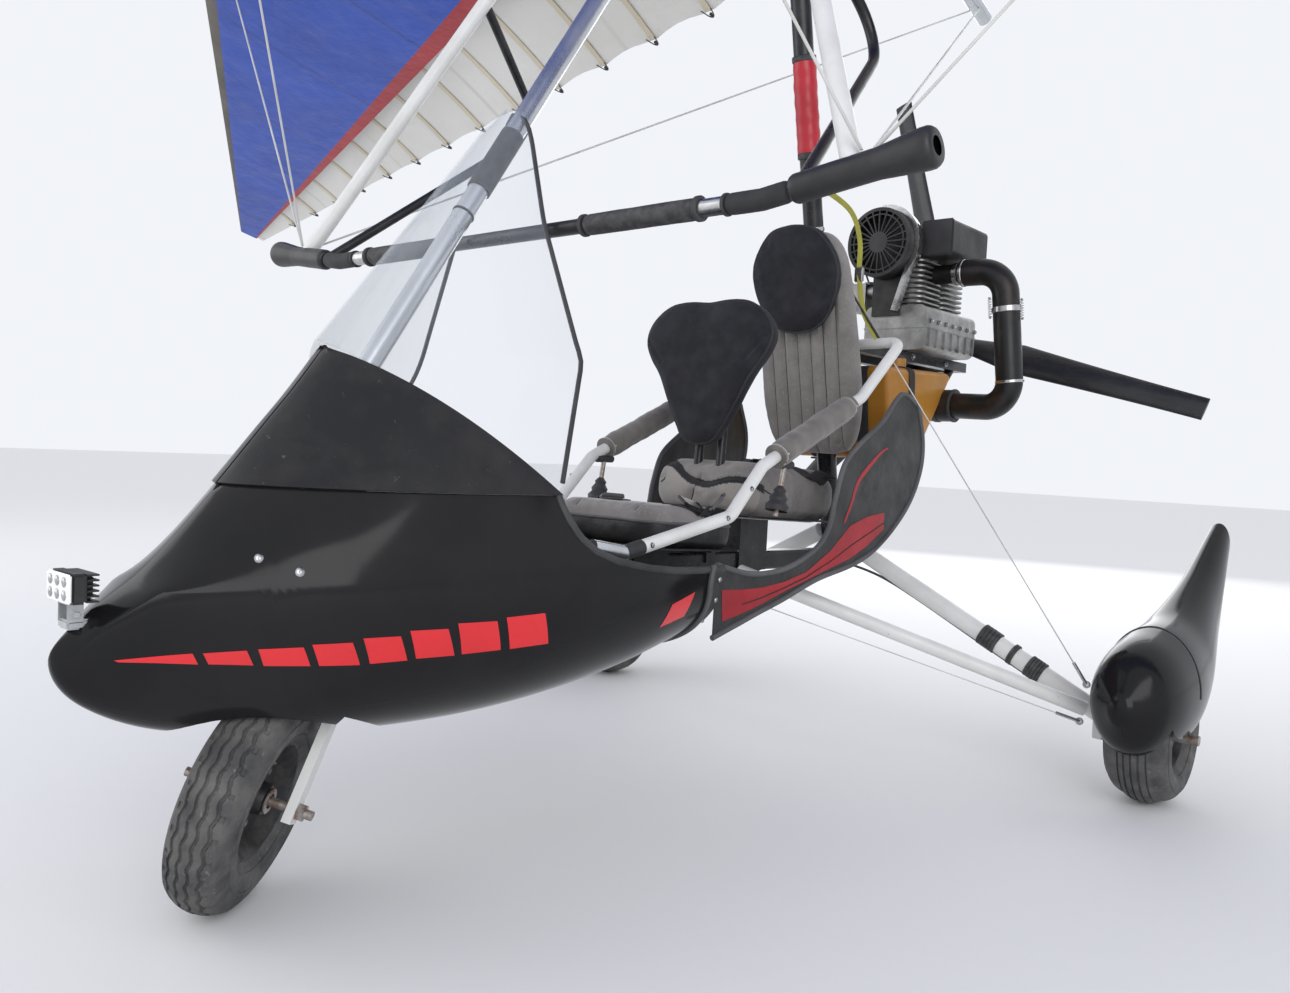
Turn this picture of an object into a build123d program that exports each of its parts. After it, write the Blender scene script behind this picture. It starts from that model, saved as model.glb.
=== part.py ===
from build123d import *
import os
from math import asin, atan2, cos, degrees, radians, sin, tan

# Weight-shift microlight: a two-seat tricycle pod under a flexible wing.
# Millimetres. +X is port, +Y is aft, +Z is up, and the wheels stand on z = 0.
# The origin lies on the ground, on the centre plane, under the middle of the whole aircraft.

# Driving dimensions of the undercarriage
front_axle_y = -1120
wheelbase = 1825
track = 1776
front_tyre_radius = 194
front_tyre_width = 102
front_rim_radius = 101
rear_tyre_radius = 168
rear_tyre_width = 146
rear_rim_radius = 77
crown_radius = 62
steering_rake = 25
parked_steer = 40
axle_radius = 8
stub_axle_radius = 12
running_gap = 0.05
seat_gap = 0.3
rear_axle_y = front_axle_y + wheelbase

# Front fork
fork_half_spread = 78
fork_leg_width = 34
fork_leg_thickness = 16
fork_crown_start = 222
fork_crown_height = 24
stem_radius = 17
stem_top = 345
head_radius = 30
head_gap = 1

# Main beam, mast and front strut
beam_width = 50
beam_height = 50
beam_front_y = front_axle_y - 60
beam_front_z = 548
beam_rear_y = rear_axle_y + 10
beam_rear_z = 500
mast_radius = 27
mast_foot_y = rear_axle_y - 37
mast_top_y = mast_foot_y - 404
mast_top_z = 2395
strut_radius = 20
strut_foot_y = front_axle_y - 20
strut_foot_z = 574
strut_top_y = mast_top_y - 216
strut_top_z = 2390

# Hang joint above the mast
roll_axis_z = 2470
pitch_axis_z = 2553
hang_bolt_radius = 8
hang_block_half = 22
cheek_thickness = 8
cheek_gap = 1

# Wing, in its own frame: origin on the keel pole above the control frame, y along the keel
wing_origin_y = mast_top_y - 234
wing_origin_z = 2680
wing_tilt = 15
half_span = 4990
nose_y = -1680
tip_leading_y = 1500
root_trailing_y = 980
tip_trailing_y = 1660
tip_droop = 250
keel_radius = 25
keel_rear_y = 1480
keel_front_y = -1690
bar_half = 757
bar_y = -229
bar_z = -1604
bar_radius = 14
bar_bend_x = 600
bar_end_rise = 34
downtube_radius = 17
kingpost_height = 980
kingpost_y = 60
wire_radius = 2.5

# Pod: stations along the pod, as y from the front axle, half width, top z and bottom z
pod_wall = 4
pod_mid_z = 545
seam_z = 700
pod_stations = [
    (-302, 18, 466, 430),
    (-262, 44, 508, 374),
    (-150, 104, 602, 322),
    (40, 226, 831, 290),
    (330, 309, 1180, 282),
    (620, 328, 1150, 314),
    (850, 314, 1100, 371),
]
# Handles of each section's quarter curves: share of the height at the side, share of the width at the end
crown_handles = (0.43, 0.19)
belly_handles = (0.63, 0.66)
well_centre_y = 24
well_half_x = 160
well_half_y = 192
well_corner = 92
cowl_top_y = 104
cowl_top_z = 935
cowl_rear_y = 395

# Engine and propeller
engine_x = 70
engine_y = rear_axle_y + 125
propeller_y = engine_y + 500
propeller_z = 1200
propeller_radius = 835
blade_count = 3
blade_first_angle = -15.5

os.makedirs("parts", exist_ok=True)
pieces = {}


def keep(name, shape):
    shape.label = name
    pieces[name] = shape
    export_step(shape, "parts/" + name + ".step")


def along(start, end):
    start, end = Vector(*start), Vector(*end)
    return Plane(origin=start, z_dir=end - start), (end - start).length


def rod(start, end, radius, bore=0):
    plane, length = along(start, end)
    with BuildPart() as bar:
        with BuildSketch(plane):
            Circle(radius)
            if bore:
                Circle(bore, mode=Mode.SUBTRACT)
        extrude(amount=length)
    return bar.part


def bent_tube(points, bend_radius, radius, bore=0):
    with BuildPart() as pipe:
        with BuildLine() as route:
            FilletPolyline(*points, radius=bend_radius)
        start = Vector(*points[0])
        with BuildSketch(Plane(origin=start, z_dir=Vector(*points[1]) - start)):
            Circle(radius)
            if bore:
                Circle(bore, mode=Mode.SUBTRACT)
        sweep(path=route.wire())
    return pipe.part


def block(centre, size):
    with BuildPart() as box:
        with Locations(centre):
            Box(*size)
    return box.part


def cut(shape, *neighbours):
    for neighbour in neighbours:
        shape = shape - neighbour
    return shape


def both_sides(shape):
    return Compound(children=[*shape.solids(), *mirror(shape, about=Plane.YZ).solids()])


# Undercarriage geometry: the steering axis runs through the front axle and leans aft
rake_cos, rake_sin = cos(radians(steering_rake)), sin(radians(steering_rake))
wheel_lean = asin(rake_sin * sin(radians(parked_steer)))
front_axle_z = (front_tyre_radius - crown_radius) * cos(wheel_lean) + crown_radius
front_axle = Vector(0, front_axle_y, front_axle_z)
steer_axis = Axis(front_axle, (0, rake_sin, rake_cos))
steer_plane = Plane(origin=front_axle, x_dir=(1, 0, 0), z_dir=(0, rake_sin, rake_cos))


def on_steering(x, aft, up):
    return steer_plane.from_local_coords(Vector(x, aft, up))


def tyre(radius, width, rim_radius):
    crown_centre = radius - crown_radius
    shoulder = radians(38)
    shoulder_z = crown_centre + crown_radius * cos(shoulder)
    shoulder_x = min(crown_radius * sin(shoulder), width / 2 - 4)
    wall_z = (rim_radius + shoulder_z) / 2
    bead = width * 0.34
    with BuildPart() as ring:
        with BuildSketch(Plane.XY):
            with BuildLine():
                ThreePointArc((-shoulder_x, shoulder_z), (0, radius), (shoulder_x, shoulder_z))
                ThreePointArc((shoulder_x, shoulder_z), (width / 2, wall_z), (bead, rim_radius))
                Line((bead, rim_radius), (-bead, rim_radius))
                ThreePointArc((-bead, rim_radius), (-width / 2, wall_z), (-shoulder_x, shoulder_z))
            make_face()
        revolve(axis=Axis.X)
    return ring.part


def rim(rim_radius, width, bore, hub_radius):
    bead = width * 0.34
    barrel = 5
    with BuildPart() as wheel:
        with BuildSketch(Plane.XY):
            with BuildLine():
                Polyline(
                    (-bead, rim_radius), (bead, rim_radius), (bead, rim_radius - barrel),
                    (6, rim_radius - 22), (6, hub_radius + 6), (bead * 0.9, hub_radius),
                    (bead * 0.9, bore), (-bead * 0.9, bore), (-bead * 0.9, hub_radius),
                    (-6, hub_radius + 6), (-6, rim_radius - 22), (-bead, rim_radius - barrel),
                    close=True,
                )
            make_face()
        revolve(axis=Axis.X)
    return wheel.part


# Front fork, front wheel and mudguard, built straight and then turned as parked
with BuildPart() as fork:
    with BuildSketch(Plane(on_steering(0, 0, fork_crown_start), x_dir=(1, 0, 0), z_dir=steer_axis.direction)):
        SlotOverall(2 * fork_half_spread + 40, 46)
    extrude(amount=fork_crown_height)
    for side in (-1, 1):
        foot = on_steering(side * fork_half_spread, 0, -22)
        with BuildSketch(Plane(foot, x_dir=(1, 0, 0), z_dir=steer_axis.direction)):
            Rectangle(fork_leg_thickness, fork_leg_width)
        extrude(amount=fork_crown_start + 24)
    with BuildSketch(Plane(on_steering(0, 0, fork_crown_start), x_dir=(1, 0, 0), z_dir=steer_axis.direction)):
        Circle(stem_radius)
    extrude(amount=stem_top - fork_crown_start)
    axle_hole = rod(on_steering(-140, 0, 0), on_steering(140, 0, 0), axle_radius)
    add(axle_hole, mode=Mode.SUBTRACT)

leg_outside = fork_half_spread + fork_leg_thickness / 2
with BuildPart() as front_bolt:
    with BuildSketch(Plane(front_axle - Vector(leg_outside + 26, 0, 0), z_dir=(1, 0, 0))):
        Circle(axle_radius)
    extrude(amount=2 * leg_outside + 52)
    for side in (-1, 1):
        nut_start = front_axle + Vector(side * leg_outside, 0, 0)
        with BuildSketch(Plane(nut_start, z_dir=(side, 0, 0))):
            RegularPolygon(radius=15, side_count=6)
        extrude(amount=12)

front_rim_solid = rim(front_rim_radius, front_tyre_width, axle_radius + running_gap, 24).moved(
    Location(front_axle)
)
front_tyre_solid = tyre(front_tyre_radius, front_tyre_width, front_rim_radius).moved(Location(front_axle))

# The mudguard is a bent strip that hangs from the underside of the fork crown
guard_wall = 3
guard_width = 70
guard_outer = fork_crown_start - seat_gap
guard_front_angle = steering_rake - 12
guard_rear_angle = 82
with BuildPart() as guard:
    with BuildSketch(Plane.YZ.offset(-guard_width / 2)):
        with BuildLine():
            for guard_radius in (guard_outer, guard_outer - guard_wall):
                CenterArc(
                    (front_axle_y, front_axle_z), guard_radius, 90 - guard_rear_angle,
                    guard_rear_angle - guard_front_angle,
                )
            for angle in (guard_front_angle, guard_rear_angle):
                outward = Vector(sin(radians(angle)), cos(radians(angle)))
                centre = Vector(front_axle_y, front_axle_z)
                Line(centre + outward * guard_outer, centre + outward * (guard_outer - guard_wall))
        make_face()
    extrude(amount=guard_width)
guard_solid = guard.part

keep("front_fork", fork.part.rotate(steer_axis, parked_steer))
keep("front_axle", front_bolt.part.rotate(steer_axis, parked_steer))
keep("front_rim", front_rim_solid.rotate(steer_axis, parked_steer))
keep("front_tyre", front_tyre_solid.rotate(steer_axis, parked_steer))
keep("mudguard", guard_solid.rotate(steer_axis, parked_steer))

# Main beam with the steering head
beam_start = Vector(0, beam_front_y, beam_front_z)
beam_end = Vector(0, beam_rear_y, beam_rear_z)
head_start = on_steering(0, 0, fork_crown_start + fork_crown_height + head_gap)
head_end = on_steering(0, 0, stem_top + 20)
with BuildPart() as beam:
    with BuildSketch(Plane(origin=beam_start, x_dir=(1, 0, 0), z_dir=beam_end - beam_start)):
        RectangleRounded(beam_width, beam_height, 8)
    extrude(amount=(beam_end - beam_start).length)
    add(rod(head_start, head_end, head_radius))
    add(rod(head_start, on_steering(0, 0, stem_top + 3), stem_radius + running_gap), mode=Mode.SUBTRACT)


def beam_z(y):
    share = (y - beam_front_y) / (beam_rear_y - beam_front_y)
    return beam_front_z + share * (beam_rear_z - beam_front_z)


# Mast with the hang cheeks on top, and the front strut
mast_foot = Vector(0, mast_foot_y, beam_z(mast_foot_y) + beam_height / 2)
mast_top = Vector(0, mast_top_y, mast_top_z)
cheek_offset = hang_block_half + cheek_gap + cheek_thickness / 2
with BuildPart() as mast:
    add(rod(mast_foot, mast_top, mast_radius))
    with Locations((0, mast_top_y, mast_top_z)):
        Box(64, 2 * cheek_offset + cheek_thickness, 24)
    for side in (-1, 1):
        with BuildSketch(Plane.XZ.offset(-(mast_top_y + side * cheek_offset) - cheek_thickness / 2)):
            with Locations((0, mast_top_z + 45)):
                Rectangle(56, 90)
            with Locations((0, roll_axis_z)):
                Circle(28)
                Circle(hang_bolt_radius, mode=Mode.SUBTRACT)
        extrude(amount=cheek_thickness)
keep("keel_beam", beam.part)

strut_start = Vector(0, strut_foot_y, strut_foot_z)
strut_end = Vector(0, strut_top_y, strut_top_z)
strut_solid = rod(strut_start, strut_end, strut_radius)
strut_solid = cut(strut_solid, beam.part)
with BuildPart() as strut_lug:
    with BuildSketch(Plane.YZ.offset(-14)):
        with BuildLine():
            Polyline(
                (strut_top_y - 26, strut_top_z - 62), (mast_top_y - 20, mast_top_z - 110),
                (mast_top_y - 20, mast_top_z - 14), (strut_top_y - 10, strut_top_z + 20), close=True,
            )
        make_face()
    extrude(amount=28)
mast_solid = cut(mast.part + strut_lug.part, strut_solid, beam.part)
keep("mast", mast_solid)
keep("front_strut", strut_solid)

with BuildPart() as roll_bolt:
    bolt_half = cheek_offset + cheek_thickness / 2 + 10
    with BuildSketch(Plane.XZ.offset(-(mast_top_y + bolt_half))):
        with Locations((0, roll_axis_z)):
            Circle(hang_bolt_radius)
    extrude(amount=2 * bolt_half)
keep("roll_bolt", roll_bolt.part)

# Hang block: rolls on the bolt along Y and carries the wing's pitch bolt along X
with BuildPart() as hang:
    block_top = pitch_axis_z + 22
    block_bottom = roll_axis_z - 24
    with Locations((0, mast_top_y, (block_top + block_bottom) / 2)):
        Box(2 * hang_block_half, 2 * hang_block_half, block_top - block_bottom)
    with Locations(Location((0, mast_top_y, roll_axis_z), (90, 0, 0))):
        Cylinder(hang_bolt_radius + running_gap, 100, mode=Mode.SUBTRACT)
    with Locations(Location((0, mast_top_y, pitch_axis_z), (0, 90, 0))):
        Cylinder(hang_bolt_radius + running_gap, 100, mode=Mode.SUBTRACT)
keep("hang_block", hang.part)

# Engine mount: two rails from the mast to the engine's rear, and struts down to the beam's end
mount_z = 1100
mount_height = 30
mount_front_y = mast_foot_y - 123
mount_rear_y = engine_y + 450
mount_rail_x = 80
mount_rail_width = 34
strut_pair_radius = 14
with BuildPart() as mount:
    for x in (-mount_rail_x, mount_rail_x):
        with Locations((x, (mount_front_y + mount_rear_y) / 2, mount_z)):
            Box(mount_rail_width, mount_rear_y - mount_front_y, mount_height)
        add(rod((x * 0.3, beam_rear_y - 16, beam_rear_z + 12), (x, mount_rear_y - 70, mount_z), strut_pair_radius))
    for y in (mount_front_y + 20, mount_rear_y - 20):
        with Locations((0, y, mount_z)):
            Box(2 * mount_rail_x + mount_rail_width, 40, mount_height)
mount_solid = cut(mount.part, mast_solid, beam.part)
keep("engine_mount", mount_solid)

# Pod: outer and inner lofts through sections of four quarter curves
def quarter_curve(wide, mid, end_z, handles):
    return [
        (wide, mid), (wide, mid + handles[0] * (end_z - mid)), (handles[1] * wide, end_z), (0, end_z),
    ]


def flipped(curve):
    return [(-x, z) for x, z in reversed(curve)]


def pod_loft(shrink):
    with BuildPart() as hull:
        for y, half_width, top, bottom in pod_stations:
            inset = min(shrink, half_width - 6)
            wide = half_width - inset
            mid = min(max(pod_mid_z, bottom + 20), top - 20)
            nose_inset = shrink if y == pod_stations[0][0] else 0
            with BuildSketch(Plane.XZ.offset(-(front_axle_y + y + nose_inset))):
                with BuildLine():
                    crown = quarter_curve(wide, mid, top - inset, crown_handles)
                    belly = quarter_curve(wide, mid, bottom + inset, belly_handles)
                    for curve in (crown, flipped(crown), [(-x, z) for x, z in belly], belly[::-1]):
                        Bezier(*curve)
                make_face()
        loft()
    return hull.part


# Rim of the cockpit's side cut-out, as y from the front axle and z
cockpit_rim = [(388, 720), (404, 662), (465, 602), (600, 566), (760, 553), (900, 548)]
pod_outer = pod_loft(0)
pod_inner = pod_loft(pod_wall)
pod_shell = pod_outer - pod_inner
pod_rear_y = front_axle_y + pod_stations[-1][0]
seam_cut = block((0, front_axle_y, seam_z + 500), (1200, 3000, 1000))
lower_shell = pod_shell - seam_cut
with BuildPart() as side_cutout:
    with BuildSketch(Plane.YZ.offset(-400)):
        with BuildLine():
            rim_line = [(front_axle_y + y, z) for y, z in cockpit_rim]
            Spline(*rim_line)
            Polyline(rim_line[-1], (rim_line[-1][0], seam_z + 60), (rim_line[0][0], seam_z + 60), rim_line[0])
        make_face()
    extrude(amount=800)
with BuildPart() as wheel_well:
    with BuildSketch(Plane.XY.offset(150)):
        with Locations((0, front_axle_y + well_centre_y)):
            RectangleRounded(2 * well_half_x, 2 * well_half_y, well_corner)
    extrude(amount=300)
pod_solid = cut(lower_shell, side_cutout.part, wheel_well.part, beam.part)
pod_solid = max(pod_solid.solids(), key=lambda solid: solid.volume)
keep("pod_hull", pod_solid)

# Nose cowl: the part of the same shell above the seam and ahead of the screen's foot
with BuildPart() as cowl_keep:
    with BuildSketch(Plane.YZ.offset(-400)):
        with BuildLine():
            Polyline(
                (front_axle_y - 320, seam_z), (front_axle_y + cowl_rear_y, seam_z),
                (front_axle_y + cowl_top_y, cowl_top_z), (front_axle_y - 320, cowl_top_z + 60), close=True,
            )
        make_face()
    extrude(amount=800)
cowl_solid = (pod_shell & cowl_keep.part) - strut_solid
cowl_solid = max(cowl_solid.solids(), key=lambda solid: solid.volume)
keep("nose_cowl", cowl_solid)

# Windscreen: plan arcs at five heights, as height, front y, rear y and rear half width
screen_wall = 3
screen_stations = [
    (702, -75, 392, 298),
    (935, 90, 486, 240),
    (1200, 300, 484, 126),
    (1370, 432, 516, 48),
    (1428, 490, 520, 14),
]
shoulder_share = (0.70, 0.42)


def screen_loft(shrink):
    with BuildPart() as shell:
        for height, front, rear, half_width in screen_stations:
            front_point = (0, front_axle_y + front + shrink)
            corner = (half_width - shrink, front_axle_y + rear + 3 * shrink)
            shoulder_x = (half_width - shrink) * shoulder_share[0]
            shoulder_y = front_axle_y + front + shrink + (rear - front) * shoulder_share[1]
            with BuildSketch(Plane.XY.offset(height)):
                with BuildLine():
                    ThreePointArc((-corner[0], corner[1]), (-shoulder_x, shoulder_y), front_point)
                    ThreePointArc(front_point, (shoulder_x, shoulder_y), corner)
                    Line(corner, (-corner[0], corner[1]))
                make_face()
        loft(ruled=True)
    return shell.part


screen_solid = screen_loft(0) - screen_loft(screen_wall)
with BuildPart() as above_cowl:
    with BuildSketch(Plane.YZ.offset(-400)):
        with BuildLine():
            Polyline(
                (front_axle_y + cowl_rear_y, seam_z + 1), (front_axle_y + cowl_top_y, cowl_top_z + 1),
                (front_axle_y - 320, cowl_top_z + 62), (front_axle_y - 320, 1700),
                (front_axle_y + 900, 1700), (front_axle_y + 900, seam_z + 1), close=True,
            )
        make_face()
    extrude(amount=800)
screen_solid = (screen_solid & above_cowl.part) - strut_solid
screen_solid = max(screen_solid.solids(), key=lambda solid: solid.volume)
keep("windscreen", screen_solid)

# Lamp on the nose
lamp_centre = Vector(0, front_axle_y - 286, 552)
lamp_width = 86
lamp_height = 44
lamp_depth = 26
lamp_fins = 5
with BuildPart() as lamp:
    with Locations(lamp_centre):
        Box(lamp_width, lamp_depth, lamp_height)
        fillet(lamp.edges().filter_by(Axis.Y), 6)
    for fin in range(lamp_fins):
        fin_z = lamp_centre.Z + (fin - (lamp_fins - 1) / 2) * lamp_height / lamp_fins
        with Locations((0, lamp_centre.Y + lamp_depth / 2 + 8, fin_z)):
            Box(lamp_width - 12, 18, 3)
    with Locations((0, lamp_centre.Y + lamp_depth / 2 + 3, lamp_centre.Z)):
        Box(lamp_width - 24, 8, lamp_height - 6)
    with Locations((0, lamp_centre.Y + 8, lamp_centre.Z - lamp_height / 2 - 30)):
        Box(26, 22, 60)
keep("nose_lamp", cut(lamp.part, pod_outer))

# Seat rails, bent from one tube on each side
rail_x = 262
rail_radius = 14
rail_points = [
    (rail_x, front_axle_y + 600, 588), (rail_x, front_axle_y + 930, 652),
    (rail_x, front_axle_y + 1040, 762), (rail_x, front_axle_y + 1450, 940),
    (rail_x, front_axle_y + 1640, 1098), (mount_rail_x, mount_front_y + 20, mount_z),
]
port_rail = cut(bent_tube(rail_points, 45, rail_radius), mast_solid, mount_solid)
keep("seat_rails", both_sides(port_rail))

sleeve_start = Vector(*rail_points[2]) + (Vector(*rail_points[3]) - Vector(*rail_points[2])) * 0.12
sleeve_end = Vector(*rail_points[2]) + (Vector(*rail_points[3]) - Vector(*rail_points[2])) * 0.86
keep("arm_pads", both_sides(rod(sleeve_start, sleeve_end, 30, rail_radius + 0.3)))

# Seats
def cushion(centre, size, round_edge):
    with BuildPart() as pad:
        Box(*size)
        fillet(pad.edges(), round_edge)
    return pad.part.moved(Location(centre, (seat_tilt, 0, 0)))


mast_lean = degrees(atan2(mast_foot.Y - mast_top.Y, mast_top.Z - mast_foot.Z))
rear_back_z = 1090
rear_back_depth = 60
mast_y_there = mast_foot.Y - (rear_back_z - mast_foot.Z) * tan(radians(mast_lean))
rear_back_y = mast_y_there - (mast_radius + rear_back_depth / 2 + seat_gap) / cos(radians(mast_lean))

pan_thickness = 4
hoop_radius = 11
seat_tilt = -3
front_back_tilt = -4
front_back_depth = 60
front_seat_size = (380, 330, 90)
rear_seat_size = (370, 440, 126)
front_seat = Vector(0, front_axle_y + 950, 618)
rear_seat = Vector(0, front_axle_y + 1350, 694)
front_back = Vector(0, front_axle_y + 1160, 975)
# Half outlines of the backrests about their own middles, as x and z from the top down
front_back_outline = [
    (0, 188), (105, 192), (172, 166), (208, 112), (190, 58), (145, -10), (108, -80), (74, -140), (44, -178),
    (0, -190),
]
rear_back_outline = [(0, 330), (92, 312), (140, 240), (158, 130), (166, 0), (166, -180), (120, -300), (0, -316)]
head_outline = [(0, 336), (74, 322), (126, 262), (144, 200), (132, 138), (100, 76), (54, 40), (0, 32)]
head_depth = 26
# Steps of a pad's edge, as share of its outline and share of its depth
edge_steps = [(1, 0.6), (0.94, 0.86), (0.87, 1)]
def backrest(half_outline, depth):
    # A padded panel in the XZ plane through the origin, from half its outline, with a stepped edge
    with BuildPart() as pad:
        for scale_share, depth_share in edge_steps:
            right = [(x * scale_share, z * scale_share) for x, z in half_outline]
            with BuildSketch(Plane.XZ.offset(-depth * depth_share / 2)):
                with BuildLine():
                    Spline(*right)
                    Spline(*[(-x, z) for x, z in reversed(right)])
                make_face()
            extrude(amount=depth * depth_share)
    return pad.part


front_back_solid = backrest(front_back_outline, front_back_depth)
keep("front_backrest", front_back_solid.moved(Location(front_back, (front_back_tilt, 0, 0))))
rear_back_solid = backrest(rear_back_outline, rear_back_depth)
head_pad = backrest(head_outline, head_depth).moved(
    Location((0, -(rear_back_depth + head_depth) / 2 + 2, 0))
)
rear_back_place = Location((0, rear_back_y, rear_back_z), (mast_lean, 0, 0))
keep("rear_backrest", (rear_back_solid + head_pad).moved(rear_back_place))

# The hoop that carries the front backrest goes down through the rear cushion
hoop_half = 34
hoop_offset = front_back_depth / 2 + hoop_radius + seat_gap
hoop_up = Vector(0, -sin(radians(front_back_tilt)), cos(radians(front_back_tilt)))
hoop_back = Vector(0, cos(radians(front_back_tilt)), sin(radians(front_back_tilt)))
hoop_top = front_back + hoop_back * hoop_offset + hoop_up * (front_back_outline[0][1] - 50)
hoop_foot = front_back + hoop_back * hoop_offset - hoop_up * (front_back.Z - 560)
rear_cushion = cushion(rear_seat, rear_seat_size, 34)
for side in (-1, 1):
    sideways = Vector(side * hoop_half, 0, 0)
    rear_cushion -= rod(hoop_foot + sideways, hoop_top + sideways, hoop_radius + seat_gap)
keep("front_cushion", cushion(front_seat, front_seat_size, 30))
keep("rear_cushion", rear_cushion)

# Seat pans on pedestals over the beam, with the hoop between them
pedestal_length = 120
with BuildPart() as seat_frame:
    for seat, size in ((front_seat, front_seat_size), (rear_seat, rear_seat_size)):
        pan_drop = size[2] / 2 + seat_gap + pan_thickness / 2
        with BuildSketch(Plane(seat, x_dir=(1, 0, 0), z_dir=(0, -sin(radians(seat_tilt)), cos(radians(seat_tilt)))
                               ).offset(-pan_drop - pan_thickness / 2)):
            RectangleRounded(size[0] - 30, size[1] - 20, 20)
        extrude(amount=pan_thickness)
        pedestal_top = seat.Z - pan_drop
        pedestal_foot = beam_z(seat.Y) - beam_height / 2
        with Locations((0, seat.Y, (pedestal_top + pedestal_foot) / 2)):
            Box(beam_width + 12, pedestal_length, pedestal_top - pedestal_foot)
    for side in (-1, 1):
        sideways = Vector(side * hoop_half, 0, 0)
        add(rod(hoop_foot + sideways, hoop_top + sideways, hoop_radius))
    add(rod(hoop_top - Vector(hoop_half, 0, 0), hoop_top + Vector(hoop_half, 0, 0), hoop_radius))
    with Locations((0, hoop_foot.Y, hoop_foot.Z)):
        Box(2 * hoop_half + 2 * hoop_radius, 36, 30)
    pedestal_z = (hoop_foot.Z + beam_z(hoop_foot.Y)) / 2
    with Locations((0, hoop_foot.Y, pedestal_z)):
        Box(beam_width + 12, 36, hoop_foot.Z - beam_z(hoop_foot.Y))
keep("seat_frame", cut(seat_frame.part, beam.part, *[pieces[name] for name in ("front_cushion", "rear_cushion")]))

# Fabric sides between the pod and the engine, with both edges as y from the front axle and z
cloth_upper = [(978, 530), (1117, 535), (1234, 572), (1291, 622), (1312, 700), (1345, 775), (1420, 832), (1515, 885),
               (1610, 960)]
cloth_lower = [(978, 436), (1110, 466), (1240, 500), (1400, 528), (1500, 560), (1580, 605), (1665, 668), (1730, 760),
               (1735, 850)]
with BuildPart() as side_cloth:
    with BuildSketch(Plane.YZ.offset(286)):
        with BuildLine():
            upper = [(front_axle_y + y, z) for y, z in cloth_upper]
            lower = [(front_axle_y + y, z) for y, z in cloth_lower]
            Spline((pod_rear_y + seat_gap, 556), *upper)
            Polyline(upper[-1], (upper[-1][0] + 90, upper[-1][1] - 26))
            Spline((upper[-1][0] + 90, upper[-1][1] - 26), *reversed(lower), (pod_rear_y + seat_gap, 404))
            Line((pod_rear_y + seat_gap, 404), (pod_rear_y + seat_gap, 556))
        make_face()
    extrude(amount=10)
keep("side_cloths", both_sides(side_cloth.part))

# Fuel tank under the engine mount, held by two straps that go up to the mount's rails
tank_half_width = 165
tank_outline = [
    (rear_axle_y - 65, 1050), (rear_axle_y + 345, 1062), (rear_axle_y + 135, 800), (rear_axle_y - 25, 790),
]
filler_radius = 24
filler_place = (118, rear_axle_y + 70)
strap_width = 34
strap_thickness = 3
with BuildPart() as tank:
    with BuildSketch(Plane.YZ.offset(-tank_half_width)):
        with BuildLine():
            Polyline(*tank_outline, close=True)
        make_face()
    extrude(amount=2 * tank_half_width)
    fillet(tank.edges(), 18)
    with BuildSketch(Plane.XY.offset(1040)):
        with Locations(filler_place):
            Circle(filler_radius)
    extrude(amount=42)
tank_solid = cut(tank.part, mast_solid, mount_solid)
keep("fuel_tank", tank_solid)
with BuildPart() as straps:
    for x in (-mount_rail_x, mount_rail_x):
        with BuildSketch(Plane.YZ.offset(x - strap_width / 2)):
            with BuildLine():
                Polyline(*tank_outline, close=True)
            make_face()
            offset(amount=strap_thickness)
        extrude(amount=strap_width)
        with Locations((x, rear_axle_y + 135, mount_z - mount_height / 2 - 20)):
            Box(strap_width, 40, 40)
strap_solid = cut(straps.part, tank_solid, mount_solid, mast_solid)
keep("tank_straps", strap_solid)

# Engine: crankcase, two finned cylinders with their heads, fan housing, belt cover and air duct
case_bottom = mount_z + mount_height / 2
case_width = 200
case_length = 330
case_height = 130
cylinder_bore_radius = 46
cylinder_height = 150
fin_count = 9
fin_pitch = 15
fin_thickness = 5
fin_size = (140, 136)
head_height = 34
plug_radius = 9
cylinder_places = (engine_y + 90, engine_y + 240)
cylinder_base = case_bottom + case_height
with BuildPart() as engine:
    with Locations((engine_x, engine_y + 5 + case_length / 2, case_bottom + case_height / 2)):
        Box(case_width, case_length, case_height)
        fillet(engine.edges().filter_by(Axis.Y), 24)
    for cylinder_y in cylinder_places:
        with BuildSketch(Plane.XY.offset(cylinder_base)):
            with Locations((engine_x, cylinder_y)):
                Circle(cylinder_bore_radius)
        extrude(amount=cylinder_height)
        for fin in range(fin_count):
            with BuildSketch(Plane.XY.offset(cylinder_base + 10 + fin_pitch * fin)):
                with Locations((engine_x, cylinder_y)):
                    RectangleRounded(*fin_size, 20)
            extrude(amount=fin_thickness)
        with BuildSketch(Plane.XY.offset(cylinder_base + cylinder_height)):
            with Locations((engine_x, cylinder_y)):
                RectangleRounded(110, 112, 26)
        extrude(amount=head_height)
        with BuildSketch(Plane.XY.offset(cylinder_base + cylinder_height + head_height)):
            with Locations((engine_x, cylinder_y)):
                Circle(plug_radius)
        extrude(amount=40)
keep("engine_block", engine.part)

# Fan ring with its grille, its back plate, and the bright cover over the belt beside it
fan_x = 40
fan_y = engine_y
fan_z = 1420
fan_radius = 100
fan_depth = 70
fan_wall = 10
grille_hub_radius = 30
grille_rings = (48, 64, 80)
grille_bar = 4
spoke_count = 24
grille_depth = 6
plate_thickness = 12
cover_wall = 7
cover_depth = 34
cover_low_angle = -42
cover_high_angle = 96
cover_tail = (fan_x + 34, cylinder_base - 20)
fan_centre = Vector(fan_x, fan_z)


def fan_rim(radius, angle):
    return fan_centre + Vector(cos(radians(angle)), sin(radians(angle))) * radius


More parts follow.
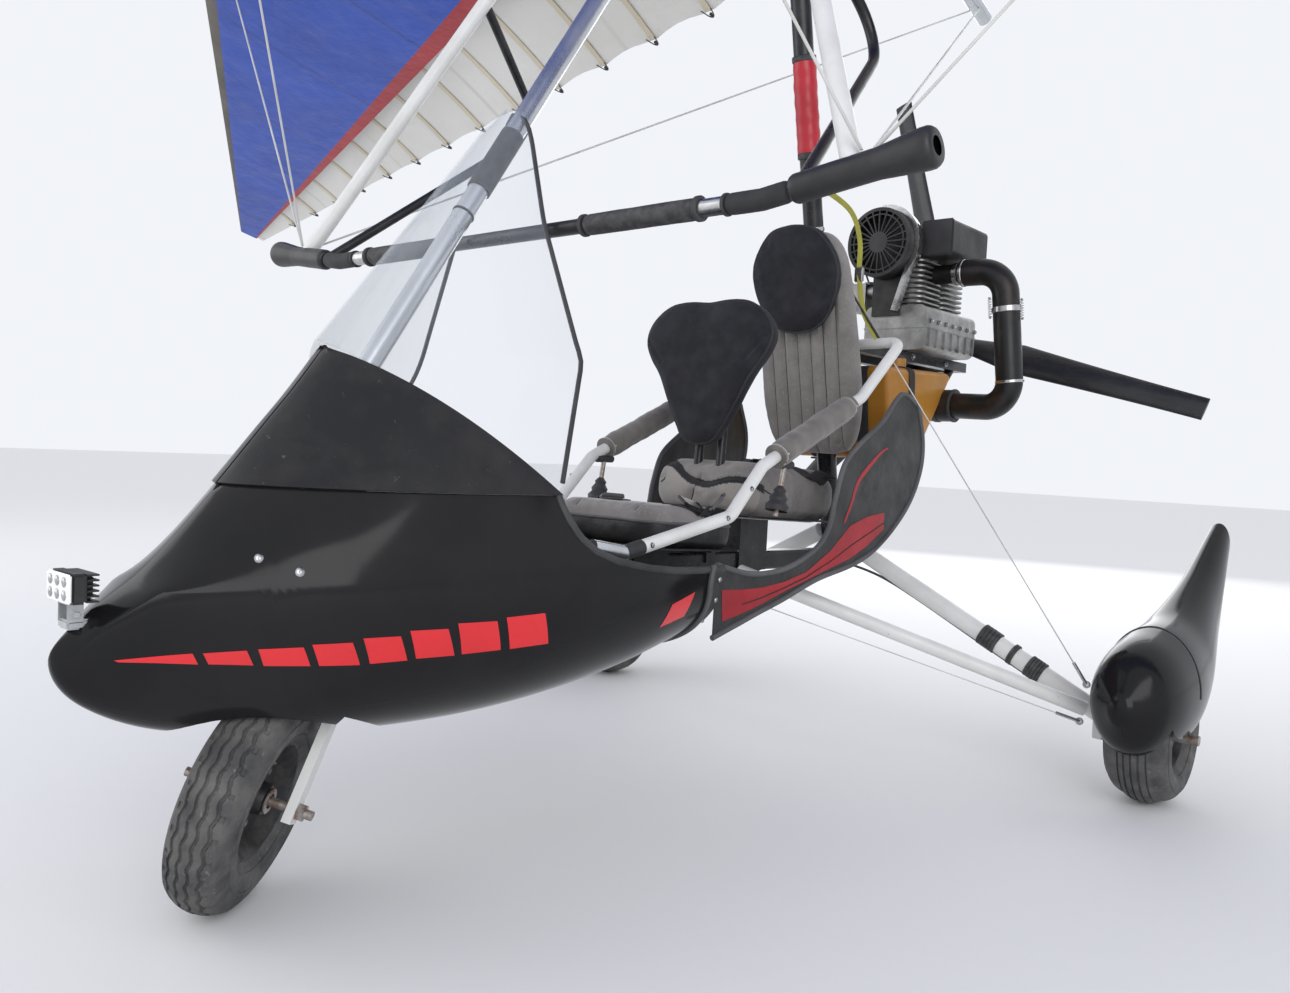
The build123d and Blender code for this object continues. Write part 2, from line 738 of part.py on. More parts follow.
with BuildPart() as fan_housing:
    with BuildSketch(Plane.XZ.offset(-(fan_y - fan_depth))):
        with Locations(fan_centre):
            Circle(fan_radius)
            Circle(fan_radius - fan_wall, mode=Mode.SUBTRACT)
    extrude(amount=-fan_depth)
    with BuildSketch(Plane.XZ.offset(-(fan_y - fan_depth))):
        with Locations(fan_centre):
            Circle(grille_hub_radius)
            with PolarLocations(60, spoke_count):
                Rectangle(64, grille_bar)
            for ring_radius in grille_rings:
                Circle(ring_radius + grille_bar / 2)
                Circle(ring_radius - grille_bar / 2, mode=Mode.SUBTRACT)
                with PolarLocations(60, spoke_count):
                    Rectangle(64, grille_bar)
                Circle(grille_hub_radius)
    extrude(amount=-grille_depth)
    with BuildSketch(Plane.XZ.offset(-fan_y + 4)):
        with Locations(fan_centre):
            Circle(fan_radius)
        with Locations((fan_x, fan_z - 130)):
            Rectangle(90, 150)
    extrude(amount=-plate_thickness)
    with BuildSketch(Plane.XZ.offset(-(fan_y - cover_depth))):
        with BuildLine():
            for reach in (fan_radius - 1, fan_radius + cover_wall):
                CenterArc(fan_centre, reach, cover_low_angle, cover_high_angle - cover_low_angle)
            for angle in (cover_low_angle, cover_high_angle):
                Line(fan_rim(fan_radius - 1, angle), fan_rim(fan_radius + cover_wall, angle))
        make_face()
        with BuildLine():
            Polyline(
                fan_rim(fan_radius - 1, cover_low_angle), fan_rim(fan_radius + cover_wall, cover_low_angle),
                (cover_tail[0] + cover_wall, cover_tail[1]), cover_tail, close=True,
            )
        make_face()
    extrude(amount=-cover_depth)
keep("fan_housing", cut(fan_housing.part, engine.part, mast_solid))

duct_centre = (181, 1436)
duct_size = (98, 104)
duct_wall = 5
duct_length = 230
with BuildPart() as shroud:
    with BuildSketch(Plane.XZ.offset(-(fan_y + 20))):
        with Locations(duct_centre):
            RectangleRounded(*duct_size, 16)
    extrude(amount=-duct_length)
    with BuildSketch(Plane.XZ.offset(-(fan_y + 20))):
        with Locations(duct_centre):
            RectangleRounded(duct_size[0] - 2 * duct_wall, duct_size[1] - 2 * duct_wall, 12)
    extrude(amount=-(duct_length - duct_wall), mode=Mode.SUBTRACT)
    with Locations((duct_centre[0] - duct_size[0] / 2 - 10, cylinder_places[0], duct_centre[1])):
        Box(30, 90, 70)
keep("cylinder_shroud", cut(shroud.part, engine.part, fan_housing.part))

shaft_radius = 14
hub_length = 60
hub_front_y = propeller_y - 38
with BuildPart() as gearbox:
    with BuildSketch(Plane.XZ.offset(-(engine_y + 335))):
        with Locations((0, propeller_z)):
            Circle(85)
    extrude(amount=-90)
    with BuildSketch(Plane.XZ.offset(-(engine_y + 425))):
        with Locations((0, propeller_z)):
            Circle(40)
    extrude(amount=-(hub_front_y - seat_gap - engine_y - 425))
    with BuildSketch(Plane.XZ.offset(-(engine_y + 425))):
        with Locations((0, propeller_z)):
            Circle(shaft_radius)
    extrude(amount=-(hub_front_y + hub_length + 10 - engine_y - 425))
keep("gearbox", cut(gearbox.part, engine.part, mount.part))

# Exhaust on the port side
header_radius = 28
exhaust_radius = 38
exhaust_points = [
    (222, rear_axle_y + 237, 1345), (345, rear_axle_y + 245, 1345),
    (378, rear_axle_y + 269, 955), (190, rear_axle_y + 299, 962),
]
header_start = (engine_x + 50, rear_axle_y + 235, 1345)
exhaust_solid = bent_tube(exhaust_points, 74, exhaust_radius) + rod(header_start, exhaust_points[0], header_radius)
keep("exhaust_pipe", cut(exhaust_solid, shroud.part, engine.part))
muffler_radius = 48
muffler_y = exhaust_points[-1][1] + 4
muffler_z = exhaust_points[-1][2]
with BuildPart() as muffler:
    with BuildSketch(Plane.YZ.offset(-150)):
        with Locations((muffler_y, muffler_z)):
            Circle(muffler_radius)
    extrude(amount=340)
keep("muffler", cut(muffler.part, exhaust_solid, tank_solid, strap_solid, mount_solid))

carburettor_z = case_bottom + 190
filter_radius = 40
filter_length = 90
filter_end_x = engine_x - 300
intake_radius = 20
with BuildPart() as carburettors:
    for carburettor_y in cylinder_places:
        with BuildSketch(Plane.YZ.offset(filter_end_x)):
            with Locations((carburettor_y, carburettor_z)):
                Circle(filter_radius)
        extrude(amount=filter_length)
        with BuildSketch(Plane.YZ.offset(filter_end_x + filter_length)):
            with Locations((carburettor_y, carburettor_z)):
                Circle(intake_radius)
        extrude(amount=engine_x - filter_end_x - filter_length)
        with Locations((filter_end_x + filter_length + 50, carburettor_y, carburettor_z - 20)):
            Box(44, 54, 88)
keep("carburettors", cut(carburettors.part, engine.part))

# Propeller: tapered, twisted blades lofted out of the hub
with BuildPart() as propeller:
    with BuildSketch(Plane.XZ.offset(-hub_front_y)):
        with Locations((0, propeller_z)):
            Circle(58)
    extrude(amount=-hub_length)
    for index in range(blade_count):
        angle = blade_first_angle + index * 360 / blade_count
        blade_plane = Plane(
            origin=(0, propeller_y - 8, propeller_z),
            x_dir=(0, 1, 0), z_dir=(cos(radians(angle)), 0, sin(radians(angle))),
        )
        with BuildPart(mode=Mode.PRIVATE) as blade:
            for reach, chord, twist in ((30, 46, 40), (260, 104, 24), (propeller_radius, 66, 12)):
                with BuildSketch(blade_plane.offset(reach)):
                    Ellipse(chord / 2, 6 + 10 * (1 - reach / propeller_radius), rotation=90 - twist)
            loft(ruled=True)
        add(blade.part)
    with BuildSketch(Plane.XZ.offset(-(hub_front_y - 1))):
        with Locations((0, propeller_z)):
            Circle(shaft_radius + running_gap)
    extrude(amount=-(hub_length + 2), mode=Mode.SUBTRACT)
keep("propeller", propeller.part)

# Rear undercarriage
hub_x = track / 2
leg_end_x = hub_x - rear_tyre_width / 2 - 34
flange_face_x = leg_end_x + 8
flange_thickness = 22
leg_root = Vector(20, mast_foot_y - 30, 575)
leg_end = Vector(leg_end_x - 6, rear_axle_y - 12, rear_tyre_radius + 20)
with BuildPart() as leg:
    add(rod(leg_root, leg_end, 24))
    with BuildSketch(Plane.YZ.offset(flange_face_x - flange_thickness)):
        with Locations((rear_axle_y - 6, rear_tyre_radius + 8)):
            RectangleRounded(96, 84, 12)
    extrude(amount=flange_thickness)
leg_solid = cut(leg.part, beam.part, mast_solid, block((-100, mast_foot_y, 575), (200, 300, 300)))
keep("gear_legs", both_sides(leg_solid))
drag_root = Vector(20, front_axle_y + 1300, 490)
drag_end = Vector(leg_end_x - 30, rear_axle_y - 70, rear_tyre_radius + 40)
drag_solid = cut(rod(drag_root, drag_end, 18), beam.part, leg_solid, pieces["seat_frame"])
drag_solid = cut(drag_solid, block((-100, front_axle_y + 1300, 490), (200, 300, 300)))
keep("drag_tubes", both_sides(drag_solid))

stub_start = (flange_face_x, rear_axle_y, rear_tyre_radius)
stub_end = (hub_x + rear_tyre_width / 2 + 30, rear_axle_y, rear_tyre_radius)
stub_solid = rod(stub_start, stub_end, stub_axle_radius)
keep("stub_axles", both_sides(stub_solid))

port_hub = Location((hub_x, rear_axle_y, rear_tyre_radius))
port_rim_solid = rim(rear_rim_radius, rear_tyre_width, stub_axle_radius + running_gap, 28).moved(port_hub)
port_tyre_solid = tyre(rear_tyre_radius, rear_tyre_width, rear_rim_radius).moved(port_hub)
keep("port_rim", port_rim_solid)
keep("port_tyre", port_tyre_solid)
keep("starboard_rim", mirror(port_rim_solid, about=Plane.YZ))
keep("starboard_tyre", mirror(port_tyre_solid, about=Plane.YZ))

# Wheel spats, as y from the axle, centre height, half width and half height
spat_stations = [
    (-262, 262, 30, 40),
    (-205, 268, 84, 112),
    (-60, 272, 108, 150),
    (110, 300, 98, 150),
    (300, 405, 62, 130),
    (500, 600, 30, 60),
]
spat_clearance = 14
with BuildPart() as spat:
    for y, height, half_width, half_height in spat_stations:
        with BuildSketch(Plane.XZ.offset(-(rear_axle_y + y))):
            with Locations((hub_x, height)):
                Ellipse(half_width, half_height)
    loft()
    with BuildSketch(Plane.YZ.offset(hub_x - rear_tyre_width / 2 - spat_clearance)):
        with Locations((rear_axle_y, rear_tyre_radius)):
            Circle(rear_tyre_radius + spat_clearance)
        with Locations((rear_axle_y, rear_tyre_radius - 150)):
            Rectangle(2 * (rear_tyre_radius + spat_clearance), 300)
    extrude(amount=rear_tyre_width + 2 * spat_clearance, mode=Mode.SUBTRACT)
spat_solid = cut(spat.part, stub_solid, leg_solid, drag_solid)
spat_solid = max(spat_solid.solids(), key=lambda solid: solid.volume)
keep("wheel_spats", both_sides(spat_solid))

# Wing pieces, built level in the wing's frame and tilted nose up as parked
wing_place = Location((0, wing_origin_y, wing_origin_z), (-wing_tilt, 0, 0))
bolt_local = wing_place.inverse() * Location((0, mast_top_y, pitch_axis_z))
hang_local = bolt_local.position

# Sail stations: share of the half span, camber of the upper surface, thickness behind the leading edge
sail_stations = [(0, 150, 64), (0.34, 120, 50), (0.7, 78, 34), (0.96, 26, 16), (1.0, 10, 10)]
sail_base = keel_radius + seat_gap
double_surface_share = 0.71
trailing_thickness = 6


sail_sections = [(-share, camber, depth) for share, camber, depth in reversed(sail_stations[1:])]
with BuildPart() as sail:
    for position, camber, depth in sail_sections + sail_stations:
        share = abs(position)
        leading = nose_y + share * (tip_leading_y - nose_y)
        trailing = root_trailing_y + share * (tip_trailing_y - root_trailing_y)
        chord = trailing - leading
        floor = sail_base - share * tip_droop
        rear_lift = floor + camber * 0.2
        with BuildSketch(Plane.YZ.offset(position * half_span)):
            with BuildLine():
                ThreePointArc(
                    (leading, floor + depth * 0.5), (leading + 0.4 * chord, floor + depth + camber * 0.7),
                    (trailing, rear_lift + trailing_thickness),
                )
                Polyline(
                    (trailing, rear_lift + trailing_thickness), (trailing, rear_lift),
                    (leading + double_surface_share * chord, floor + camber * 0.3),
                    (leading + 0.06 * chord, floor), (leading, floor + depth * 0.5),
                )
            make_face()
    loft(ruled=True)
sail_whole = sail.part


keel_solid = rod((0, keel_front_y, 0), (0, keel_rear_y, 0), keel_radius)
cheek_top = 18
with BuildPart() as hang_cheeks:
    for side in (-1, 1):
        with Locations((side * cheek_offset, hang_local.Y, (hang_local.Z + cheek_top - 20) / 2)):
            Box(cheek_thickness, 60, cheek_top + 20 - hang_local.Z)
    with Locations(Location(hang_local, (0, 90, 0))):
        Cylinder(hang_bolt_radius, 2 * cheek_offset + cheek_thickness + 16)
cheeks_solid = cut(hang_cheeks.part, keel_solid)
keep("sail", sail_whole.moved(wing_place))
keep("wing_keel", keel_solid.moved(wing_place))
keep("hang_bracket", cheeks_solid.moved(wing_place))

bar_end_x = bar_half + 60
bar_slope = bar_end_rise / (bar_end_x - bar_bend_x)


def bar_point(x):
    return (x, bar_y, bar_z + max(0, abs(x) - bar_bend_x) * bar_slope)


bar_solid = bent_tube([bar_point(x) for x in (-bar_end_x, -bar_bend_x, bar_bend_x, bar_end_x)], 150, bar_radius)
keep("base_bar", bar_solid.moved(wing_place))
downtube = rod(Vector(*bar_point(bar_half)) + Vector(0, 0, 6), (38, 0, -30), downtube_radius)
downtube = cut(downtube, bar_solid, keel_solid)
keep("downtubes", both_sides(downtube).moved(wing_place))
training_points = [(660, bar_y + 8, bar_z + 20), (500, 165, -1063), (448, -122, -908)]
training = bent_tube(training_points, 90, 11)
keep("training_bars", both_sides(cut(training, bar_solid, downtube)).moved(wing_place))

kingpost_solid = rod((0, kingpost_y, keel_radius), (0, kingpost_y - 20, kingpost_height), 14)
kingpost_solid = cut(kingpost_solid, sail_whole)
kingpost_solid = max(kingpost_solid.solids(), key=lambda solid: solid.volume)
keep("kingpost", kingpost_solid.moved(wing_place))

# Padded sleeves over the corners of the control frame
sleeve_inner = bar_radius + 0.3
corner_sleeve = rod(bar_point(bar_half - 100), bar_point(bar_half + 130), 27, sleeve_inner)
corner_sleeve = cut(corner_sleeve, downtube, training)
keep("corner_sleeves", both_sides(corner_sleeve).moved(wing_place))
grip = rod((212, bar_y, bar_z), (469, bar_y, bar_z), 19, sleeve_inner)
keep("bar_grips", both_sides(grip).moved(wing_place))

# Rigging stays, from the corners and the kingpost to the nose, the keel's end and the cross-tube ends
stay_share = 0.42
stay_x = stay_share * half_span
stay_y = nose_y + stay_share * (tip_leading_y - nose_y) + 90
corner_point = Vector(*bar_point(bar_half + 20)) + Vector(0, 0, bar_radius)
kingpost_top = (0, kingpost_y - 20, kingpost_height - 15)


def stay(start, end):
    return rod(start, end, wire_radius)


lower_stays = [
    stay(corner_point, (stay_x, stay_y, -stay_share * tip_droop + 20)),
    stay(corner_point, (8, nose_y + 70, 0)),
    stay(corner_point, (8, keel_rear_y - 60, 0)),
]
lower_pieces = [max(cut(one, sail_whole, keel_solid, bar_solid, downtube, corner_sleeve, training).solids(),
                    key=lambda solid: solid.volume) for one in lower_stays]
keep("lower_stays", both_sides(Compound(children=lower_pieces)).moved(wing_place))
upper_stays = [
    stay(kingpost_top, (0, nose_y + 120, 30)),
    stay(kingpost_top, (0, keel_rear_y - 30, 0)),
    stay(kingpost_top, (stay_x, stay_y + 300, -stay_share * tip_droop + 60)),
    stay(kingpost_top, (-stay_x, stay_y + 300, -stay_share * tip_droop + 60)),
]
upper_pieces = [max(cut(one, sail_whole, keel_solid, kingpost_solid).solids(), key=lambda solid: solid.volume)
                for one in upper_stays]
keep("upper_stays", Compound(children=upper_pieces).moved(wing_place))

print(len(pieces), "pieces; front axle at", round(front_axle_z, 3))
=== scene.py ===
import math

import bpy
import bmesh
from mathutils import Matrix, Vector, noise
from mathutils.bvhtree import BVHTree
from mathutils.kdtree import KDTree


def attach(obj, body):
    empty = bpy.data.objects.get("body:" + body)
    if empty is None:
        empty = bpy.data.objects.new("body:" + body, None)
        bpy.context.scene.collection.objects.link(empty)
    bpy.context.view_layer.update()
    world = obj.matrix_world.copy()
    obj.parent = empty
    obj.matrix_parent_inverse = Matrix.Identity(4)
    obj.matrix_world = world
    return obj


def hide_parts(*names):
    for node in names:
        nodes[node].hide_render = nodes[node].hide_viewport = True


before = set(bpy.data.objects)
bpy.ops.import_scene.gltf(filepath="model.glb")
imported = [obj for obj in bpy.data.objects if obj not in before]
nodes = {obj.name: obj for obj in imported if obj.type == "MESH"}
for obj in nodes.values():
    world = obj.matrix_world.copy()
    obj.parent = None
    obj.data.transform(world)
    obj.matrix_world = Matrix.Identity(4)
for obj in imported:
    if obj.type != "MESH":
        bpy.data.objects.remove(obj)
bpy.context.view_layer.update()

scene = bpy.context.scene
print("frame loaded:", len(nodes), "nodes")

# the photograph's camera: metres, degrees, and pixels of its 1290 wide frame
cameraLook = {
    "place": (1.5865, -1.982, 0.7855),
    "heading": 41.1467,
    "downPitch": 3.0839,
    "roll": 2.7702,
    "focalPixels": 1046.76,
    "frameWidth": 1290,
    "centreDrop": 9.5,
}


def makeCamera(look):
    heading, pitch, roll = (math.radians(look[key]) for key in ("heading", "downPitch", "roll"))
    level = Vector((-math.sin(heading), math.cos(heading), 0))
    rightLevel = Vector((math.cos(heading), math.sin(heading), 0))
    ahead = level * math.cos(pitch) - Vector((0, 0, math.sin(pitch)))
    upLevel = level * math.sin(pitch) + Vector((0, 0, math.cos(pitch)))
    right = rightLevel * math.cos(roll) + upLevel * math.sin(roll)
    up = upLevel * math.cos(roll) - rightLevel * math.sin(roll)
    data = bpy.data.cameras.new("photoCamera")
    data.sensor_width = 36
    data.lens = data.sensor_width * look["focalPixels"] / look["frameWidth"]
    data.shift_y = look["centreDrop"] / look["frameWidth"]
    data.clip_start, data.clip_end = 0.05, 200
    camera = bpy.data.objects.new("photoCamera", data)
    scene.collection.objects.link(camera)
    turn = Matrix((right, up, -ahead)).transposed().to_4x4()
    camera.matrix_world = Matrix.Translation(look["place"]) @ turn
    scene.camera = camera


makeCamera(cameraLook)
print("camera placed")


# small geometry helpers
def mix(a, b, share):
    return a + (b - a) * share


def clamp(value, low=0.0, high=1.0):
    return max(low, min(high, value))


def spread(low, high, steps):
    # values from low to high, both included, evenly apart
    return [mix(low, high, k / steps) for k in range(steps + 1)]


def along(path, index):
    # direction of a path at one of its points
    return (path[min(index + 1, len(path) - 1)] - path[max(index - 1, 0)]).normalized()


def turns(count, start=0.0):
    # angles all the way round, evenly apart
    return [math.tau * (k + start) / count for k in range(count)]


def squareTo(axis):
    # two directions square to an axis
    side = axis.orthogonal().normalized()
    return side, axis.normalized().cross(side)


def outward(side, other, turn):
    return side * math.cos(turn) + other * math.sin(turn)


def straight(start, end, steps):
    return [start.lerp(end, k / steps) for k in range(steps + 1)]


def halve(low, high, isPast, rounds):
    # narrows down to the place between two where the test turns true
    for _ in range(rounds):
        middle = (low + high) / 2
        low, high = (low, middle) if isPast(middle) else (middle, high)
    return low, high


def smoothPath(points, steps=8):
    points = [Vector(point) for point in points]
    path = []
    for index in range(len(points) - 1):
        before = points[max(index - 1, 0)]
        start, end = points[index], points[index + 1]
        after = points[min(index + 2, len(points) - 1)]
        for step in range(steps):
            t = step / steps
            path.append(0.5 * ((2 * start) + (end - before) * t
                               + (2 * before - 5 * start + 4 * end - after) * t * t
                               + (3 * start - before - 3 * end + after) * t ** 3))
    path.append(points[-1])
    return path


def smoothPairs(pairs, steps=8):
    # the same in a plane
    return smoothPath([(a, b, 0) for a, b in pairs], steps)


def stationsAt(table, place):
    # the station before a place in the first column of a table, and how far the place is towards the next
    index = 0
    while index < len(table) - 2 and place > table[index + 1][0]:
        index += 1
    return index, (place - table[index][0]) / (table[index + 1][0] - table[index][0])


def smoothTable(table, place):
    # a row of a table of stations, smoothly interpolated at a place in its first column
    index, t = stationsAt(table, place)
    rows = [table[clamp(index + k, 0, len(table) - 1)] for k in (-1, 0, 1, 2)]
    span, t = rows[2][0] - rows[1][0], clamp(t)
    result = []
    for column in range(1, len(table[0])):
        value = [row[column] for row in rows]
        startSlope = (value[2] - value[0]) / max(rows[2][0] - rows[0][0], 1e-6) * span
        endSlope = (value[3] - value[1]) / max(rows[3][0] - rows[1][0], 1e-6) * span
        result.append((2 * t ** 3 - 3 * t * t + 1) * value[1] + (t ** 3 - 2 * t * t + t) * startSlope
                      + (-2 * t ** 3 + 3 * t * t) * value[2] + (t ** 3 - t * t) * endSlope)
    return result


# a bundle holds the points and faces of a piece, with the number of each face's paint
def newBundle():
    return {"points": [], "faces": [], "paint": []}


def newBundles(count):
    return [newBundle() for _ in range(count)]


def addFaces(bundle, points, faces):
    start = len(bundle["points"])
    bundle["points"] += [Vector(point) for point in points]
    bundle["faces"] += [tuple(start + corner for corner in face) for face in faces]
    bundle["paint"] += [0] * len(faces)


def addRows(bundle, rows, wrap=False, caps=False):
    columns = len(rows[0])
    faces = []
    for r in range(len(rows) - 1):
        for c in range(columns if wrap else columns - 1):
            a, b = r * columns + c, r * columns + (c + 1) % columns
            faces.append((a, b, b + columns, a + columns))
    if caps:
        last = (len(rows) - 1) * columns
        faces += [tuple(reversed(range(columns))), tuple(range(last, last + columns))]
    addFaces(bundle, [point for row in rows for point in row], faces)


def rowBundle(rows, wrap=False, caps=False):
    bundle = newBundle()
    addRows(bundle, rows, wrap, caps)
    return bundle


def tubeRows(path, radius, sides=20):
    path = [Vector(point) for point in path]
    rows, side = [], along(path, 0).orthogonal()
    for index, point in enumerate(path):
        tangent = along(path, index)
        side = (side - tangent * side.dot(tangent)).normalized()
        rows.append([point + outward(side, tangent.cross(side), turn) * radius for turn in turns(sides)])
    return rows


def addTube(bundle, path, radius, sides=16):
    addRows(bundle, tubeRows(path, radius, sides), wrap=True, caps=True)


def addHoop(bundle, ring, radius, sides):
    # a closed tube
    addRows(bundle, tubeRows(ring + [ring[0]], radius, sides), wrap=True)


def addStrap(bundle, path, width, thickness, across):
    # a flat strap along a path; across is the direction of its width
    corner = ((-1, -0.6), (-0.92, -1), (0.92, -1), (1, -0.6), (1, 0.6), (0.92, 1), (-0.92, 1), (-1, 0.6))
    rows, path = [], [Vector(point) for point in path]
    for index, point in enumerate(path):
        tangent, wide = along(path, index), Vector(across)
        wide = (wide - tangent * wide.dot(tangent)).normalized()
        up = tangent.cross(wide)
        rows.append([point + wide * (x * width / 2) + up * (y * thickness / 2) for x, y in corner])
    addRows(bundle, rows, wrap=True, caps=True)


def addLathe(bundle, origin, axis, profile, sides=32):
    # profile is a list of (radius, height along the axis)
    axis = Vector(axis).normalized()
    side, other = squareTo(axis)
    addRows(bundle, [[Vector(origin) + axis * height + outward(side, other, turn) * radius for turn in turns(sides)]
                     for radius, height in profile], wrap=True)


def addBox(bundle, centre, size, bevel=0.002, turn=None):
    box = bmesh.new()
    bmesh.ops.create_cube(box, size=1)
    for vertex in box.verts:
        vertex.co = Vector(vertex.co[k] * size[k] for k in range(3))
    bmesh.ops.bevel(box, geom=box.edges[:], offset=bevel, segments=2, affect="EDGES")
    place = Matrix.Translation(centre) @ (turn or Matrix.Identity(4))
    box.verts.index_update()
    addFaces(bundle, [place @ vertex.co for vertex in box.verts],
             [[vertex.index for vertex in face.verts] for face in box.faces])
    box.free()


def addDome(bundle, place, normal, radius, height, sides=12):
    # a pan-head screw with its shallow recess; each row is a share of the radius and of the height
    shares = ((1, 0), (0.96, 0.5), (0.7, 0.92), (0.35, 1), (0.3, 0.7), (0, 0.65))
    addLathe(bundle, place, normal, [(radius * wide, height * up) for wide, up in shares], sides)


def addCollar(bundle, centre, axis, inner, outer, width, sides=28):
    soft = min(0.2 * width, 0.3 * (outer - inner))
    half = width / 2
    addLathe(bundle, centre, axis, [(inner, -half), (outer - soft, -half), (outer, soft - half),
                                    (outer, half - soft), (outer - soft, half), (inner, half)], sides)


def addBolt(bundle, place, normal, size):
    # a round washer under a hexagon head
    washer, head = ((1.35, 0), (1.35, 0.22), (0.5, 0.22)), ((1, 0.2), (1, 0.85), (0.86, 1), (0, 1))
    for shares, sides in ((washer, 18), (head, 6)):
        addLathe(bundle, place, normal, [(size * wide, size * up) for wide, up in shares], sides)


def addSpring(bundle, start, end, radius, wire, coils):
    start, end = Vector(start), Vector(end)
    side, other = squareTo(end - start)
    addTube(bundle, [start.lerp(end, k / (coils * 10)) + outward(side, other, math.tau * k / 10) * radius
                     for k in range(coils * 10 + 1)], wire, 6)


def settle(piece):
    # modifiers become part of the mesh
    shape = bpy.data.meshes.new_from_object(piece.evaluated_get(bpy.context.evaluated_depsgraph_get()))
    old = piece.data
    piece.modifiers.clear()
    piece.data = shape
    shape.name = piece.name
    bpy.data.meshes.remove(old)


def smooth(mesh, sharp=35):
    mesh.shade_smooth()
    mesh.set_sharp_from_angle(angle=math.radians(sharp))


def makeObject(name, bundle, *paintNames, sharp=35):
    mesh = bpy.data.meshes.new(name)
    mesh.from_pydata([tuple(point) for point in bundle["points"]], [], bundle["faces"])
    for paint in paintNames:
        mesh.materials.append(paints[paint])
    mesh.polygons.foreach_set("material_index", bundle["paint"])
    tidy = bmesh.new()
    tidy.from_mesh(mesh)
    bmesh.ops.remove_doubles(tidy, verts=tidy.verts, dist=1e-5)
    bmesh.ops.dissolve_degenerate(tidy, dist=1e-6, edges=tidy.edges[:])
    bmesh.ops.recalc_face_normals(tidy, faces=tidy.faces[:])
    tidy.to_mesh(mesh)
    tidy.free()
    smooth(mesh, sharp)
    piece = bpy.data.objects.new(name, mesh)
    scene.collection.objects.link(piece)
    return piece


def thicken(piece, wall, offset, sharp):
    shell = piece.modifiers.new("wall", "SOLIDIFY")
    shell.thickness, shell.offset = wall, offset
    settle(piece)
    smooth(piece.data, sharp)


def carve(piece, bundle, paint, sharp):
    # what lies inside the bundle's form is cut away
    cutter = makeObject("cutter", bundle, paint)
    opening = piece.modifiers.new("opening", "BOOLEAN")
    opening.operation, opening.solver, opening.object = "DIFFERENCE", "EXACT", cutter
    settle(piece)
    smooth(piece.data, sharp)
    bpy.data.objects.remove(cutter)


def treeOf(piece):
    return BVHTree.FromObject(piece, bpy.context.evaluated_depsgraph_get())


def fit(piece, body, instead=()):
    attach(piece, body)
    if instead:
        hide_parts(*instead)
    return piece


def addPieces(body, *pieces):
    # each piece: its name, bundle, paint and slot, then the nodes that it stands for
    return [fit(makeObject(name, bundle, paint), body, instead)
            for name, bundle, paint, slot, *instead in pieces]


# finishes: every surface varies in colour and roughness and has its own grain
def makePaint(name, look):
    material = bpy.data.materials.new(name)
    material.use_nodes = True
    tree = material.node_tree

    def feed(node, inputs):
        # an input takes a value, or the output of another node
        for key, value in inputs.items():
            if isinstance(value, bpy.types.NodeSocket):
                tree.links.new(value, node.inputs[key])
            else:
                node.inputs[key].default_value = value
        return node.outputs

    def addNode(kind, inputs, **settings):
        node = tree.nodes.new("ShaderNode" + kind)
        for key, value in settings.items():
            setattr(node, key, value)
        return feed(node, inputs)

    place = addNode("TexCoord", {})["Object"]
    stretched = addNode("Mapping", {"Scale": look.get("stretch", (1, 1, 1)), "Vector": place})["Vector"]

    def grain(scale, detail=6):
        return addNode("TexNoise", {"Scale": scale, "Detail": detail, "Roughness": 0.6, "Vector": stretched})["Fac"]

    def waves(axis, scale, distortion):
        return addNode("TexWave", {"Scale": scale, "Distortion": distortion, "Vector": place},
                       bands_direction=axis)["Fac"]

    def weave(scale):
        # two crossed sets of threads that need no UV map
        return addNode("Math", {0: waves("DIAGONAL", scale, 0.6), 1: waves("Z", scale, 0.6)},
                       operation="MULTIPLY")[0]

    def cells(scale):
        return addNode("TexVoronoi", {"Scale": scale, "Vector": stretched})["Distance"]

    def remap(socket, low, high, toLow=0.0, toHigh=1.0):
        return addNode("MapRange", {"Value": socket, "From Min": low, "From Max": high,
                                    "To Min": toLow, "To Max": toHigh})["Result"]

    def blendColour(mask, under, over):
        return addNode("Mix", {0: mask, 6: under, 7: (*over, 1)}, data_type="RGBA")[2]

    scale, low, high = look.get("patch", (6, 0.35, 0.7))
    colour = blendColour(remap(grain(scale, 4), low, high), (*look["colour"], 1), look["second"])
    for speck, scale, low, high in look.get("specks", ()):
        colour = blendColour(remap(grain(scale), low, high), colour, speck)
    for line, axis, pitch, width in look.get("lines", ()):
        # thin parallel lines, such as seams or threads
        colour = blendColour(remap(waves(axis, 0.314 / pitch, 0), 1 - width, 1), colour, line)
    rough = remap(grain(look.get("roughScale", 14)), 0.3, 0.75, *look["rough"])
    heights = {"noise": grain, "weave": weave, "cells": cells}
    normal = None
    for kind, scale, strength, distance in look["bumps"]:
        bump = {"Height": heights[kind](scale), "Strength": strength, "Distance": distance}
        if normal:
            bump["Normal"] = normal
        normal = addNode("Bump", bump)["Normal"]

    inputs = {"Base Color": colour, "Roughness": rough, "Normal": normal}
    for key, socket in (("metal", "Metallic"), ("coat", "Coat Weight"), ("sheen", "Sheen Weight"), ("ior", "IOR"),
                        ("soft", "Subsurface Weight"), ("softScale", "Subsurface Scale"),
                        ("specular", "Specular IOR Level"), ("glowStrength", "Emission Strength")):
        if key in look:
            inputs[socket] = look[key]
    if "glow" in look:
        inputs["Emission Color"] = (*look["glow"], 1)
    if "clear" in look:
        # a clear sheet lets light through, and shows more of itself edge on
        inputs["Alpha"] = remap(addNode("LayerWeight", {"Blend": 0.35})["Facing"], 0, 1, *look["clear"])
    feed(tree.nodes["Principled BSDF"], inputs)
    return material


